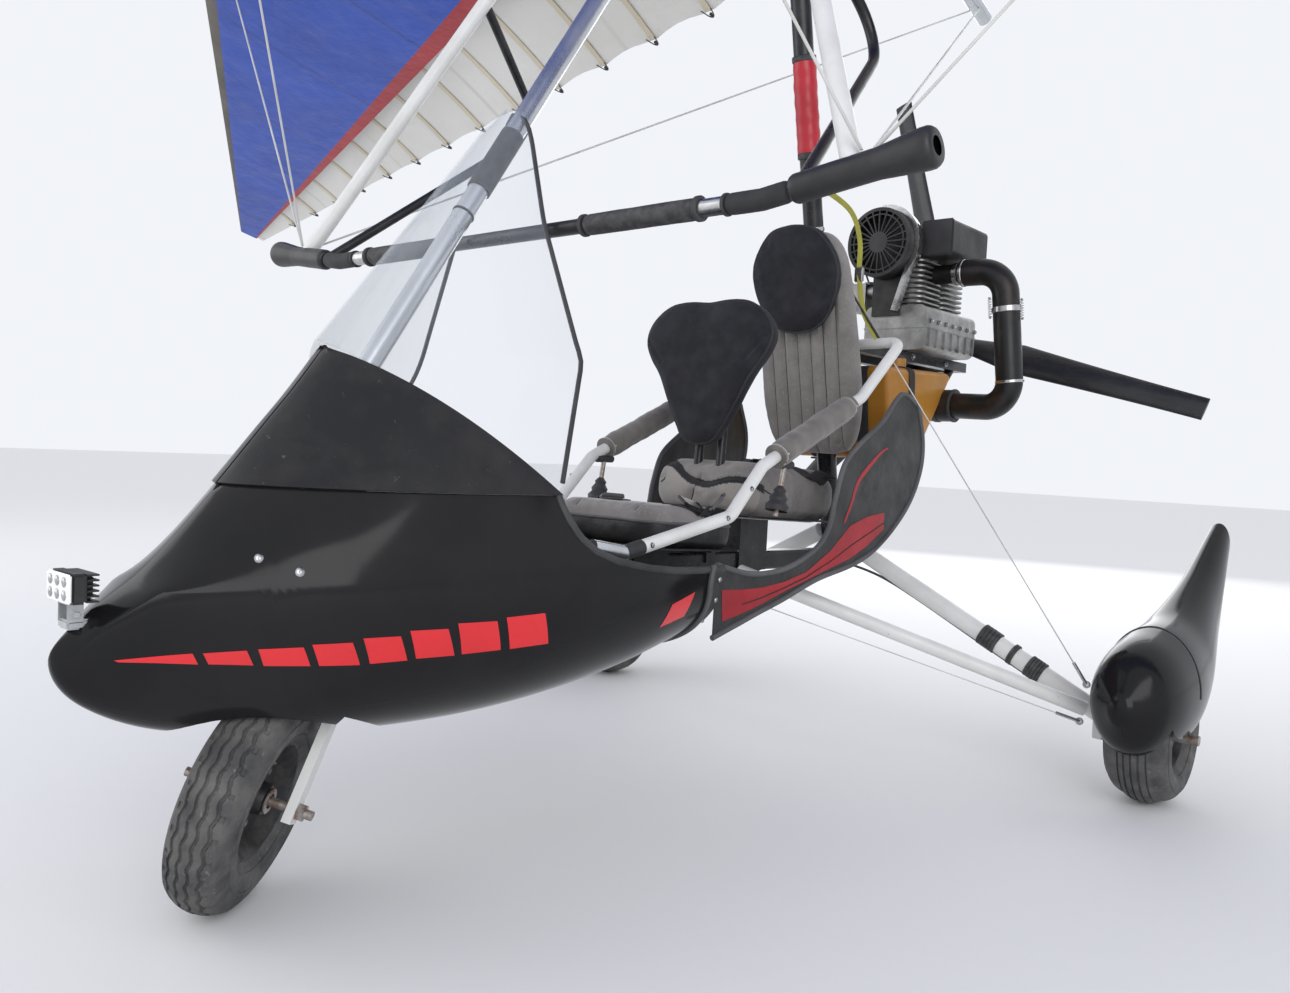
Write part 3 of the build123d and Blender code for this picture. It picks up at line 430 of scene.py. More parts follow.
finishes = {
    "hullBlack": {"colour": (0.010, 0.010, 0.011), "second": (0.018, 0.017, 0.017), "patch": (3, 0.4, 0.8),
                  "rough": (0.10, 0.22), "roughScale": 5, "specular": 0.2,
                  "bumps": (("noise", 5, 0.05, 0.004), ("noise", 220, 0.03, 0.0005))},
    "cowlBlack": {"colour": (0.016, 0.016, 0.018), "second": (0.034, 0.033, 0.034), "patch": (9, 0.4, 0.75),
                  "rough": (0.26, 0.44), "roughScale": 12, "specular": 0.2,
                  "specks": (((0.10, 0.10, 0.105), 55, 0.66, 0.74),),
                  "bumps": (("noise", 9, 0.12, 0.004), ("noise", 400, 0.08, 0.0004))},
    "clearScreen": {"colour": (0.52, 0.57, 0.63), "second": (0.42, 0.47, 0.53), "patch": (4, 0.4, 0.7),
                    "rough": (0.04, 0.13), "clear": (0.03, 0.34), "ior": 1.5,
                    "bumps": (("noise", 6, 0.04, 0.002),)},
    "edgeRubber": {"colour": (0.020, 0.020, 0.022), "second": (0.050, 0.050, 0.052), "rough": (0.5, 0.75),
                   "bumps": (("noise", 350, 0.2, 0.0008),)},
    "tyreRubber": {"colour": (0.050, 0.050, 0.053), "second": (0.125, 0.122, 0.115), "patch": (22, 0.35, 0.7),
                   "rough": (0.68, 0.92), "specks": (((0.20, 0.19, 0.17), 90, 0.62, 0.75),),
                   "bumps": (("noise", 500, 0.25, 0.0006), ("cells", 260, 0.12, 0.0006))},
    "rimDark": {"colour": (0.035, 0.036, 0.040), "second": (0.10, 0.09, 0.08), "patch": (30, 0.45, 0.75),
                "rough": (0.35, 0.65), "metal": 0.5, "bumps": (("noise", 300, 0.15, 0.0006),)},
    "whitePaint": {"colour": (0.74, 0.74, 0.72), "second": (0.62, 0.61, 0.58), "patch": (7, 0.45, 0.8),
                   "rough": (0.28, 0.48), "specks": (((0.20, 0.16, 0.12), 120, 0.70, 0.74),),
                   "bumps": (("noise", 60, 0.08, 0.001), ("noise", 500, 0.06, 0.0003))},
    "blackTube": {"colour": (0.014, 0.014, 0.016), "second": (0.04, 0.04, 0.042), "patch": (16, 0.45, 0.8),
                  "rough": (0.22, 0.42), "metal": 0.35, "bumps": (("noise", 400, 0.08, 0.0004),)},
    "silverTube": {"colour": (0.60, 0.62, 0.65), "second": (0.46, 0.48, 0.50), "patch": (9, 0.35, 0.75),
                   "rough": (0.22, 0.42), "metal": 0.9, "stretch": (1, 1, 0.25),
                   "bumps": (("noise", 160, 0.10, 0.0005),)},
    "plainSteel": {"colour": (0.42, 0.40, 0.38), "second": (0.20, 0.11, 0.06), "patch": (45, 0.42, 0.66),
                   "rough": (0.32, 0.7), "metal": 0.75, "bumps": (("noise", 500, 0.25, 0.0006),)},
    "brightSteel": {"colour": (0.50, 0.50, 0.50), "second": (0.36, 0.36, 0.36), "patch": (60, 0.4, 0.7),
                    "rough": (0.18, 0.36), "metal": 1.0, "bumps": (("noise", 300, 0.06, 0.0003),)},
    "guardRed": {"colour": (0.13, 0.012, 0.020), "second": (0.07, 0.010, 0.014), "rough": (0.4, 0.65),
                 "bumps": (("noise", 70, 0.15, 0.001),)},
    "seatGrey": {"colour": (0.235, 0.218, 0.205), "second": (0.165, 0.152, 0.145), "patch": (14, 0.35, 0.72),
                 "rough": (0.82, 0.97), "sheen": 0.35,
                 "specks": (((0.30, 0.28, 0.265), 160, 0.58, 0.72),),
                 "bumps": (("noise", 38, 0.16, 0.003), ("noise", 650, 0.45, 0.0008))},
    "seatPale": {"colour": (0.33, 0.305, 0.285), "second": (0.25, 0.23, 0.215), "patch": (12, 0.35, 0.72),
                 "rough": (0.82, 0.97), "sheen": 0.35,
                 "bumps": (("noise", 34, 0.14, 0.003), ("noise", 650, 0.45, 0.0008))},
    "seatBlack": {"colour": (0.014, 0.014, 0.018), "second": (0.030, 0.030, 0.036), "patch": (18, 0.4, 0.75),
                  "rough": (0.78, 0.95), "sheen": 0.06, "specular": 0.3,
                  "bumps": (("noise", 22, 0.10, 0.003), ("weave", 420, 0.25, 0.0005))},
    "belt": {"colour": (0.015, 0.015, 0.017), "second": (0.04, 0.04, 0.042), "rough": (0.6, 0.85),
             "bumps": (("weave", 300, 0.5, 0.0006),)},
    "vinylBlack": {"colour": (0.012, 0.012, 0.013), "second": (0.035, 0.034, 0.034), "patch": (12, 0.4, 0.75),
                   "rough": (0.34, 0.62), "bumps": (("noise", 13, 0.45, 0.008), ("cells", 420, 0.2, 0.0006))},
    "vinylRed": {"colour": (0.36, 0.008, 0.016), "second": (0.24, 0.008, 0.014), "patch": (12, 0.4, 0.75),
                 "rough": (0.30, 0.52), "bumps": (("noise", 15, 0.35, 0.006), ("cells", 420, 0.15, 0.0006))},
    "pipingGrey": {"colour": (0.10, 0.10, 0.105), "second": (0.05, 0.05, 0.052), "rough": (0.5, 0.75),
                   "bumps": (("noise", 420, 0.25, 0.0006),)},
    "decalRed": {"colour": (0.70, 0.014, 0.020), "second": (0.60, 0.012, 0.016), "patch": (6, 0.4, 0.75),
                 "rough": (0.16, 0.30), "coat": 0.3, "bumps": (("noise", 5, 0.04, 0.003),)},
    "tankAmber": {"colour": (0.50, 0.235, 0.030), "second": (0.36, 0.155, 0.020), "patch": (5, 0.35, 0.7),
                  "rough": (0.28, 0.46), "soft": 0.35, "softScale": 0.03,
                  "bumps": (("noise", 24, 0.12, 0.003), ("noise", 260, 0.08, 0.0005))},
    "castMetal": {"colour": (0.40, 0.40, 0.39), "second": (0.23, 0.225, 0.215), "patch": (26, 0.35, 0.75),
                  "rough": (0.35, 0.6), "metal": 0.8,
                  "specks": (((0.16, 0.15, 0.14), 70, 0.66, 0.76),),
                  "bumps": (("noise", 260, 0.4, 0.0012), ("noise", 40, 0.2, 0.003))},
    "ductBlack": {"colour": (0.012, 0.012, 0.012), "second": (0.035, 0.034, 0.032), "patch": (20, 0.4, 0.75),
                  "rough": (0.4, 0.65), "bumps": (("noise", 380, 0.2, 0.0006),)},
    "heatBlack": {"colour": (0.010, 0.010, 0.010), "second": (0.050, 0.030, 0.024), "patch": (14, 0.5, 0.8),
                  "rough": (0.28, 0.52), "metal": 0.25,
                  "bumps": (("noise", 70, 0.15, 0.0012), ("noise", 500, 0.1, 0.0004))},
    "bladeBlack": {"colour": (0.012, 0.012, 0.014), "second": (0.028, 0.028, 0.030), "patch": (8, 0.4, 0.75),
                   "rough": (0.26, 0.42), "coat": 0.15, "bumps": (("noise", 200, 0.06, 0.0004),)},
    "sailBlue": {"colour": (0.008, 0.062, 0.42), "second": (0.006, 0.042, 0.30), "patch": (2.2, 0.35, 0.75),
                 "rough": (0.48, 0.68), "sheen": 0.15,
                 "lines": (((0.006, 0.040, 0.27), "X", 0.62, 0.004),),
                 "bumps": (("noise", 2.6, 0.5, 0.05), ("weave", 90, 0.18, 0.0008))},
    "sailRed": {"colour": (0.36, 0.008, 0.016), "second": (0.27, 0.006, 0.012), "patch": (2.2, 0.35, 0.75),
                "rough": (0.48, 0.68), "sheen": 0.15,
                "bumps": (("noise", 2.6, 0.5, 0.05), ("weave", 90, 0.18, 0.0008))},
    "sailCream": {"colour": (0.62, 0.555, 0.42), "second": (0.52, 0.455, 0.34), "patch": (1.6, 0.35, 0.75),
                  "rough": (0.52, 0.72), "sheen": 0.15,
                  "lines": (((0.50, 0.44, 0.33), "X", 0.9, 0.003),),
                  "bumps": (("noise", 3.2, 0.45, 0.04), ("weave", 90, 0.15, 0.0008))},
    "sailWhite": {"colour": (0.70, 0.69, 0.66), "second": (0.60, 0.59, 0.55), "patch": (1.6, 0.35, 0.75),
                  "rough": (0.50, 0.70), "sheen": 0.15,
                  "lines": (((0.58, 0.57, 0.53), "X", 0.9, 0.003),),
                  "bumps": (("noise", 3.2, 0.35, 0.04), ("weave", 90, 0.15, 0.0008))},
    "sailEdge": {"colour": (0.085, 0.075, 0.064), "second": (0.13, 0.12, 0.10), "patch": (5, 0.35, 0.75),
                 "rough": (0.55, 0.78), "bumps": (("noise", 9, 0.2, 0.01), ("weave", 120, 0.2, 0.0008))},
    "foamGrey": {"colour": (0.185, 0.168, 0.155), "second": (0.12, 0.11, 0.10), "patch": (17, 0.35, 0.7),
                 "rough": (0.85, 0.98), "sheen": 0.3,
                 "bumps": (("noise", 30, 0.25, 0.004), ("noise", 600, 0.4, 0.0008))},
    "sleeveBlack": {"colour": (0.012, 0.012, 0.013), "second": (0.030, 0.030, 0.031), "patch": (14, 0.4, 0.75),
                    "rough": (0.36, 0.56), "bumps": (("noise", 16, 0.3, 0.004), ("cells", 500, 0.12, 0.0005))},
    "gripRubber": {"colour": (0.030, 0.030, 0.032), "second": (0.075, 0.074, 0.072), "patch": (60, 0.4, 0.7),
                   "rough": (0.55, 0.8), "bumps": (("noise", 420, 0.3, 0.0008),)},
    "tapeRed": {"colour": (0.50, 0.016, 0.030), "second": (0.38, 0.012, 0.022), "rough": (0.28, 0.45),
                "bumps": (("noise", 40, 0.3, 0.002),)},
    "strapYellow": {"colour": (0.40, 0.39, 0.05), "second": (0.27, 0.26, 0.04), "rough": (0.6, 0.8),
                    "bumps": (("weave", 300, 0.4, 0.0006),)},
    "wireCoat": {"colour": (0.66, 0.66, 0.63), "second": (0.50, 0.50, 0.47), "rough": (0.35, 0.55),
                 "bumps": (("weave", 900, 0.5, 0.0004),)},
    "ropeWhite": {"colour": (0.62, 0.61, 0.57), "second": (0.42, 0.40, 0.36), "rough": (0.8, 0.95),
                  "bumps": (("weave", 500, 0.8, 0.0008),)},
    "lampMetal": {"colour": (0.50, 0.51, 0.52), "second": (0.34, 0.35, 0.36), "rough": (0.3, 0.5), "metal": 0.7,
                  "bumps": (("noise", 300, 0.1, 0.0004),)},
    "lampLens": {"colour": (0.86, 0.88, 0.90), "second": (0.74, 0.76, 0.78), "patch": (90, 0.4, 0.7),
                 "rough": (0.06, 0.16), "coat": 1.0, "glow": (1.0, 1.0, 0.98), "glowStrength": 0.12,
                 "bumps": (("noise", 200, 0.1, 0.0006),)},
}
paints = {name: makePaint(name, look) for name, look in finishes.items()}
print("finishes mixed:", len(paints))

# the nodes of the frame that still show, by their finish; the others are of black tube
nodeFinish = {
    "silverTube": ("front_strut", "hang_block", "hang_bracket", "wing_keel", "kingpost"),
    "plainSteel": ("roll_bolt", "stub_axles", "front_axle"),
    "whitePaint": ("seat_rails", "gear_legs", "drag_tubes", "front_fork", "downtubes"),
    "castMetal": ("engine_block", "gearbox", "carburettors"),
    "ductBlack": ("fan_housing", "cylinder_shroud"),
    "heatBlack": ("exhaust_pipe", "muffler"),
    "rimDark": ("front_rim", "port_rim", "starboard_rim"),
    "wireCoat": ("lower_stays", "upper_stays"),
    "tankAmber": ("fuel_tank",), "guardRed": ("mudguard",), "bladeBlack": ("propeller",),
}


def paintNodes():
    finishOf = {node: finish for finish, group in nodeFinish.items() for node in group}
    for name, node in nodes.items():
        node.data.materials.clear()
        node.data.materials.append(paints[finishOf.get(name, "blackTube")])
        smooth(node.data, 32)


paintNodes()
print("frame painted")

# pod: stations of y from the front axle, half width, top z, bottom z, and the line of its upper rim
podLook = {
    "axleY": -1.120, "axleZ": 0.189036,
    "middle": 0.545,
    "seam": 0.700,
    "wall": 0.004,
    "stations": [
        (-0.310, 0.014, 0.462, 0.436),
        (-0.262, 0.044, 0.508, 0.374),
        (-0.150, 0.104, 0.602, 0.322),
        (0.040, 0.226, 0.831, 0.290),
        (0.330, 0.309, 1.180, 0.282),
        (0.620, 0.328, 1.150, 0.314),
        (0.850, 0.314, 1.100, 0.371),
    ],
    # handles of the curves from the widest place up to the crown and down to the belly
    "crown": (0.43, 0.19),
    "belly": (0.63, 0.66),
    "rim": [(-0.31, 0.700), (0.389, 0.700), (0.394, 0.684), (0.404, 0.662), (0.428, 0.628), (0.465, 0.602),
            (0.520, 0.582), (0.600, 0.566), (0.680, 0.557), (0.760, 0.553), (0.850, 0.549)],
    "rows": 90, "around": 72,
    # the nose closes round its tip: y of the join, y and z of the tip, then reach and slope there
    "nose": {"join": -0.262, "tip": -0.308, "z": 0.449, "side": (0.044, 0.5625), "top": (0.059, 0.875),
             "bottom": (0.075, 0.7125), "middle": (0.50, 0.851)},
    # the belly is open round the steered wheel and its mudguard: radius, start behind the axle
    "wells": [(0.203, -0.203), (0.231, 0.070)],
}


def fromAxle(x, y, z):
    # places measured from the front axle: x to port, y aft, z up from the ground
    return Vector((x, y + podLook["axleY"], z))


def noseReach(key, y):
    # width squared grows with the distance from the tip, so that the tip is round
    nose = podLook["nose"]
    length, away = nose["join"] - nose["tip"], max(y - nose["tip"], 0.0)
    reach, slope = nose[key]
    curve = (2 * reach * slope * length - reach * reach) / length ** 2
    return math.sqrt(max((reach * reach / length - curve * length) * away + curve * away * away, 1e-7))


def podSection(y):
    nose = podLook["nose"]
    if y < nose["join"]:
        top, bottom = nose["z"] + noseReach("top", y), nose["z"] - noseReach("bottom", y)
        middle = mix(*nose["middle"], clamp((y - nose["tip"]) / (nose["join"] - nose["tip"])))
        return noseReach("side", y), top, bottom, mix(bottom, top, middle)
    halfWidth, top, bottom = smoothTable(podLook["stations"], y)
    return halfWidth, top, bottom, min(max(podLook["middle"], bottom + 0.02), top - 0.02)


def quarterCurve(t, handles):
    # share of the half width and share of the height along one quarter of a section
    back = 1 - t
    wide = back ** 3 + 3 * back * back * t + 3 * back * t * t * handles[1]
    return wide, 3 * back * back * t * handles[0] + 3 * back * t * t + t ** 3


def quarterPlace(reach, handles):
    return halve(0.0, 1.0, lambda t: quarterCurve(t, handles)[1] >= reach, 26)[0]


def podHalfWidth(y, z):
    halfWidth, top, bottom, middle = podSection(y)
    handles = podLook["crown" if z > middle else "belly"]
    reach = (z - middle) / ((top if z > middle else bottom) - middle)
    return halfWidth * quarterCurve(quarterPlace(reach, handles), handles)[0] if reach < 1 else 0.0


def rimHeight(y):
    table = podLook["rim"]
    index, t = stationsAt(table, y)
    return mix(table[index][1], table[index + 1][1], clamp(t))


def podRing(y, count):
    # from the rim on the port side, under the belly, to the rim on the other side
    halfWidth, top, bottom, middle = podSection(y)
    rim = min(rimHeight(y), top)
    if rim >= middle:
        start = -quarterPlace((rim - middle) / (top - middle), podLook["crown"])
    else:
        start = quarterPlace((middle - rim) / (middle - bottom), podLook["belly"])
    ring = []
    for step in range(count + 1):
        turn = mix(start, 2 - start, step / count)
        side, t = (1, turn) if turn <= 1 else (-1, 2 - turn)
        wide, rise = quarterCurve(abs(t), podLook["crown" if t < 0 else "belly"])
        ring.append(fromAxle(side * halfWidth * wide, y, middle + rise * ((top if t < 0 else bottom) - middle)))
    return ring


def makePod():
    look = podLook
    first, last, count = look["nose"]["tip"], look["stations"][-1][0], look["rows"]
    rows = [[fromAxle(0, first, look["nose"]["z"])] * (look["around"] + 1)]
    rows += [podRing(mix(first, last, (step / count) ** 1.7), look["around"]) for step in range(1, count + 1)]
    hull = makeObject("podHull", rowBundle(rows), "hullBlack", "edgeRubber", sharp=50)
    thicken(hull, look["wall"], -1, 40)
    for radius, start in look["wells"]:
        well, first = newBundle(), math.acos(clamp(start / radius, -1.0, 1.0))
        arc = [(radius * math.sin(turn), radius * math.cos(turn)) for turn in spread(first, 0.0, 40)]
        addLathe(well, fromAxle(0, 0, look["axleZ"]), (0, 1, 0), [(0.0, arc[0][1])] + arc, 96)
        carve(hull, well, "edgeRubber", 40)
    fit(hull, "trike", ["pod_hull"])


makePod()
print("pod made")

# stripe of slanted dashes on both flanks; the lettering's place behind them stays bare
stripeLook = {
    # each row: top front, top rear, bottom rear, bottom front, as y and z from the front axle
    "dashes": [
        ((-0.241, 0.449), (-0.149, 0.456), (-0.141, 0.439), (-0.236, 0.446)),
        ((-0.137, 0.456), (-0.087, 0.460), (-0.077, 0.437), (-0.129, 0.439)),
        ((-0.074, 0.462), (-0.021, 0.465), (-0.009, 0.435), (-0.065, 0.436)),
        ((-0.011, 0.469), (0.041, 0.471), (0.057, 0.434), (0.002, 0.435)),
        ((0.055, 0.477), (0.109, 0.478), (0.126, 0.437), (0.071, 0.435)),
        ((0.122, 0.486), (0.182, 0.486), (0.201, 0.440), (0.139, 0.439)),
        ((0.197, 0.494), (0.265, 0.494), (0.282, 0.443), (0.213, 0.441)),
        ((0.281, 0.499), (0.355, 0.502), (0.375, 0.446), (0.299, 0.443)),
        ((0.680, 0.492), (0.750, 0.511), (0.738, 0.461), (0.664, 0.446)),
    ],
    "proud": 0.0008,
}


def makeStripes():
    bundle = newBundle()
    for side in (-1, 1):
        for dash in stripeLook["dashes"]:
            topFront, topRear, bottomRear, bottomFront = (Vector(corner) for corner in dash)
            edges = zip(straight(topFront, topRear, 8), straight(bottomFront, bottomRear, 8))
            addRows(bundle, [[fromAxle(side * (podHalfWidth(y, z) + stripeLook["proud"]), y, z)
                              for y, z in straight(bottom, top, 4)] for top, bottom in edges])
    addPieces("trike", ("flankStripes", bundle, "decalRed", "black_gloss"))


makeStripes()
print("stripes laid")

# cowl ahead of the screen, with its screws: along the seam as shares, then each by height and share
cowlLook = {
    "top": 0.935, "topY": 0.104, "rearY": 0.395, "wall": 0.003, "lift": 0.0025, "levels": 26, "along": 40,
    "seamScrews": (0.30, 0.50, 0.64, 0.75, 0.84, 0.91, 0.975), "seamGap": 0.016,
    "screws": ((0.905, 0.9), (0.852, 0.965), (0.792, 0.972), (0.738, 0.978), (0.76, 0.72), (0.76, 0.9)),
    "screwHead": (0.0062, 0.0032),
}


def cowlRear(z):
    return mix(cowlLook["rearY"], cowlLook["topY"], (z - podLook["seam"]) / (cowlLook["top"] - podLook["seam"]))


def cowlPoint(z, share, side):
    front = halve(podLook["stations"][0][0], cowlLook["rearY"], lambda y: podSection(y)[1] > z, 40)[1] + 1e-4
    y, lift = mix(front, cowlRear(z), share ** 2), cowlLook["lift"]
    return fromAxle(side * (podHalfWidth(y, z) + lift * min(1.0, share * 4)), y - lift * 0.4, z + lift * 0.5)


def makeCowl():
    look, (bundle, screws) = cowlLook, newBundles(2)
    places = [(podLook["seam"] + look["seamGap"], share) for share in look["seamScrews"]] + list(look["screws"])
    for side in (-1, 1):
        heights = spread(podLook["seam"] - 0.001, look["top"] - 0.002, look["levels"])
        addRows(bundle, [[cowlPoint(z, share, side) for share in spread(0, 1, look["along"])] for z in heights])
        for z, share in places:
            place = cowlPoint(z, share, side)
            ahead, above = cowlPoint(z, share - 0.01, side) - place, cowlPoint(z + 0.004, share, side) - place
            normal = ahead.cross(above).normalized()
            normal *= math.copysign(1, normal.x * side)
            addDome(screws, place - normal * 0.0005, normal, *look["screwHead"])
    cowl = makeObject("noseCowl", bundle, "cowlBlack", sharp=60)
    thicken(cowl, look["wall"], -1, 45)
    fit(cowl, "trike", ["nose_cowl"])
    addPieces("trike", ("cowlScrews", screws, "brightSteel", "steel"))


makeCowl()
print("cowl made")

# windscreen: height, front y, rear y, rear half width, as the frame's solid
screenLook = {
    "stations": [(0.702, -0.075, 0.392, 0.298), (0.935, 0.090, 0.486, 0.240), (1.200, 0.300, 0.484, 0.126),
                 (1.370, 0.432, 0.516, 0.048), (1.428, 0.490, 0.520, 0.014)],
    "shoulder": (0.70, 0.42), "levels": 60, "across": 64, "wall": 0.003, "edge": 0.0045,
}


def arcThrough(a, b, c, share):
    # a point on the circle through three points of a plane, from a at 0 to c at 1
    (ax, ay), (bx, by), (cx, cy) = a, b, c
    d = 2 * (ax * (by - cy) + bx * (cy - ay) + cx * (ay - by))
    ux = ((ax * ax + ay * ay) * (by - cy) + (bx * bx + by * by) * (cy - ay) + (cx * cx + cy * cy) * (ay - by)) / d
    uy = ((ax * ax + ay * ay) * (cx - bx) + (bx * bx + by * by) * (ax - cx) + (cx * cx + cy * cy) * (bx - ax)) / d
    radius = math.hypot(ax - ux, ay - uy)
    start, middle, end = (math.atan2(y - uy, x - ux) for x, y in (a, b, c))
    turn = (end - start) % math.tau
    if (middle - start) % math.tau > turn:
        turn -= math.tau
    angle = start + turn * share
    return ux + radius * math.cos(angle), uy + radius * math.sin(angle)


def screenPoint(z, share):
    table = screenLook["stations"]
    index, t = stationsAt(table, z)
    ends = []
    for _, front, rear, half in table[index:index + 2]:
        shoulder = (half * screenLook["shoulder"][0], mix(front, rear, screenLook["shoulder"][1]))
        ends.append(arcThrough((0, front), shoulder, (half, rear), abs(share)))
    x, y = (mix(ends[0][k], ends[1][k], t) for k in (0, 1))
    return fromAxle(math.copysign(x, share), y, z)


def screenLine(share, steps):
    # from the cowl's rear edge up to the top
    foot = halve(podLook["seam"], 1.0, lambda z: screenPoint(z, share).y > fromAxle(0, cowlRear(z), z).y, 30)[1]
    return [screenPoint(z, share) for z in spread(foot + 0.001, screenLook["stations"][-1][0], steps)]


def makeScreen():
    look, edge = screenLook, newBundle()
    rows = [screenLine(share, look["levels"]) for share in spread(-1, 1, look["across"])]
    screen = makeObject("windscreen", rowBundle(rows), "clearScreen", sharp=60)
    thicken(screen, look["wall"], 0, 50)
    fit(screen, "trike", ["windscreen"])
    # the rolled rubber edge runs up one side, over the top and down the other
    path = screenLine(-1, 40) + screenLine(1, 40)[::-1]
    addTube(edge, smoothPath(path[::2], 2), look["edge"], 10)
    addPieces("trike", ("screenEdge", edge, "edgeRubber", "black_satin"))


makeScreen()
print("screen made")

# rubber channel round the cockpit's cut-out
trimLook = {"start": 0.383, "end": 0.849, "radius": 0.0075, "sunk": 0.002}


def makeRimTrim():
    look, bundle = trimLook, newBundle()
    for side in (-1, 1):
        places = [mix(look["start"], look["end"], share ** 1.2) for share in spread(0, 1, 39)]
        addTube(bundle, [fromAxle(side * (podHalfWidth(y, rimHeight(y)) - look["sunk"]), y, rimHeight(y))
                         for y in places], look["radius"], 10)
    addPieces("trike", ("cockpitTrim", bundle, "edgeRubber", "black_satin"))


makeRimTrim()
print("trim made")

# tyres: centre, radius, width, rim radius, crown radius and tread, with the place of the rim's valve
tyreLook = {
    "front": {"centre": (0, -1.120, 0.189036), "radius": 0.194, "width": 0.102, "rim": 0.101, "crown": 0.062,
              "tread": "zigzag", "valve": 0.078},
    "port": {"centre": (0.888, 0.705, 0.168), "radius": 0.168, "width": 0.146, "rim": 0.077, "crown": 0.062,
             "tread": "ribs", "valve": 0.054},
}
tyreLook["starboard"] = dict(tyreLook["port"], centre=(-0.888, 0.705, 0.168))
steerLook = {"rake": 25, "parked": 40}


def wheelFrame(name):
    # a wheel's centre, its axle's direction and two directions square to that
    rake, turn = math.radians(steerLook["rake"]), math.radians(steerLook["parked"])
    steered = Vector((math.cos(turn), math.cos(rake) * math.sin(turn), -math.sin(rake) * math.sin(turn)))
    axis = steered if name == "front" else Vector((1, 0, 0))
    return (Vector(tyreLook[name]["centre"]), axis, *squareTo(axis))


def tyreProfile(look):
    # offsets across the tyre with their radii, from one bead over the crown to the other
    crown, halfWidth, shoulder = look["crown"], look["width"] / 2, math.radians(38)
    shoulderX = min(crown * math.sin(shoulder), halfWidth - 0.004)
    shoulderR = look["radius"] - crown + crown * math.cos(shoulder)
    bead, wallMiddle = (look["width"] * 0.34, look["rim"]), (halfWidth, (look["rim"] + shoulderR) / 2)
    wall = [arcThrough(bead, wallMiddle, (shoulderX, shoulderR), k / 14) for k in range(14)]
    tread = [arcThrough((shoulderX, shoulderR), (0, look["radius"]), (-shoulderX, shoulderR), k / 72)
             for k in range(73)]
    return wall + tread + [(-x, r) for x, r in reversed(wall)], shoulderX


def grooveDepth(look, across, turn):
    if abs(across) > 0.97:
        return 0.0
    if look["tread"] == "ribs":
        return 0.004 if any(abs(across - lane) < 0.045 for lane in (-0.80, -0.40, 0.0, 0.40, 0.80)) else 0.0
    wave = (turn * 64 / math.tau) % 2
    if abs(across) > 0.80 and wave < 0.45:
        return 0.003
    shift = (abs(wave - 1) - 0.5) * 0.13
    return 0.0045 if any(abs(across - lane - shift) < 0.062 for lane in (-0.66, -0.22, 0.22, 0.66)) else 0.0


def makeTyre(name, look):
    centre, axis, side, other = wheelFrame(name)
    profile, shoulderX = tyreProfile(look)
    columns = [[centre + axis * x + outward(side, other, turn) * (radius - grooveDepth(look, x / shoulderX, turn))
                for x, radius in profile] for turn in turns(384 if look["tread"] == "zigzag" else 128)]
    tyre = makeObject(name + "Tyre", rowBundle(columns + [columns[0]]), "tyreRubber", sharp=32)
    fit(tyre, name + "_wheel", [name + "_tyre"])
    # raised rings on the sidewalls
    rings = newBundle()
    for flank in (-1, 1):
        for level in (3, 8):
            x, radius = profile[level]
            ring = [centre + axis * (flank * x) + outward(side, other, turn) * radius for turn in turns(96)]
            addHoop(rings, ring, 0.0016, 6)
    addPieces(name + "_wheel", (name + "TyreRings", rings, "tyreRubber", "rubber"))


for tyreName, tyreEntry in tyreLook.items():
    makeTyre(tyreName, tyreEntry)
print("tyres made")

# wheel spats: y from the axle, centre height, half width, half height; then the wheel's slot and the seam
spatLook = {
    "hub": (0.888, 0.705),
    "stations": [(-0.262, 0.262, 0.030, 0.040), (-0.205, 0.268, 0.084, 0.112), (-0.060, 0.272, 0.108, 0.150),
                 (0.110, 0.300, 0.098, 0.150), (0.300, 0.405, 0.062, 0.130), (0.500, 0.600, 0.030, 0.060)],
    "slot": (0.087, 0.182, 0.168),
    "capDepth": 0.012,
    "seam": (-0.040, 0.27, 0.0006, 0.0018),
}


def spatRing(y, side, count=56):
    centre, halfWidth, halfHeight = smoothTable(spatLook["stations"], y)
    hubX, hubY = spatLook["hub"]
    return [Vector((side * hubX + halfWidth * math.cos(turn), hubY + y, centre + halfHeight * math.sin(turn)))
            for turn in turns(count)]


def makeSpats():
    look = spatLook
    (hubX, hubY), (halfGap, reach, hubZ) = look["hub"], look["slot"]
    seamY, seamZ, proud, thick = look["seam"]
    for side, name in ((1, "portSpat"), (-1, "starboardSpat")):
        rows = [spatRing(y, side) for y in spread(look["stations"][0][0], look["stations"][-1][0], 60)]
        caps = []
        for end, inward in ((0, -1), (-1, 1)):
            centre = sum(rows[end], Vector()) / len(rows[end])
            caps.append([[centre.lerp(point, size)
                          + Vector((0, inward * look["capDepth"] * math.sqrt(1 - size * size), 0))
                          for point in rows[end]] for size in (0.75, 0.4, 0.0)])
        spat = makeObject(name, rowBundle(caps[0][::-1] + rows + caps[1], wrap=True), "hullBlack", sharp=50)
        outline = [(hubY + reach * math.cos(a), hubZ + reach * math.sin(a)) for a in spread(0, math.pi, 32)]
        outline += [(hubY - reach, -0.1), (hubY + reach, -0.1)]
        slot = rowBundle([[Vector((side * hubX + x, y, z)) for y, z in outline] for x in (-halfGap, halfGap)],
                         wrap=True, caps=True)
        carve(spat, slot, "hullBlack", 40)
        fit(spat, "trike", ["wheel_spats"] if side == 1 else ())
        seam = newBundle()
        ring = [point + (point - Vector((side * hubX, point.y, seamZ))).normalized() * proud
                for point in spatRing(seamY, side, 72)]
        addTube(seam, ring[:37], thick, 6)
        addPieces("trike", (name + "Seam", seam, "pipingGrey", "black_gloss"))


makeSpats()
print("spats made")

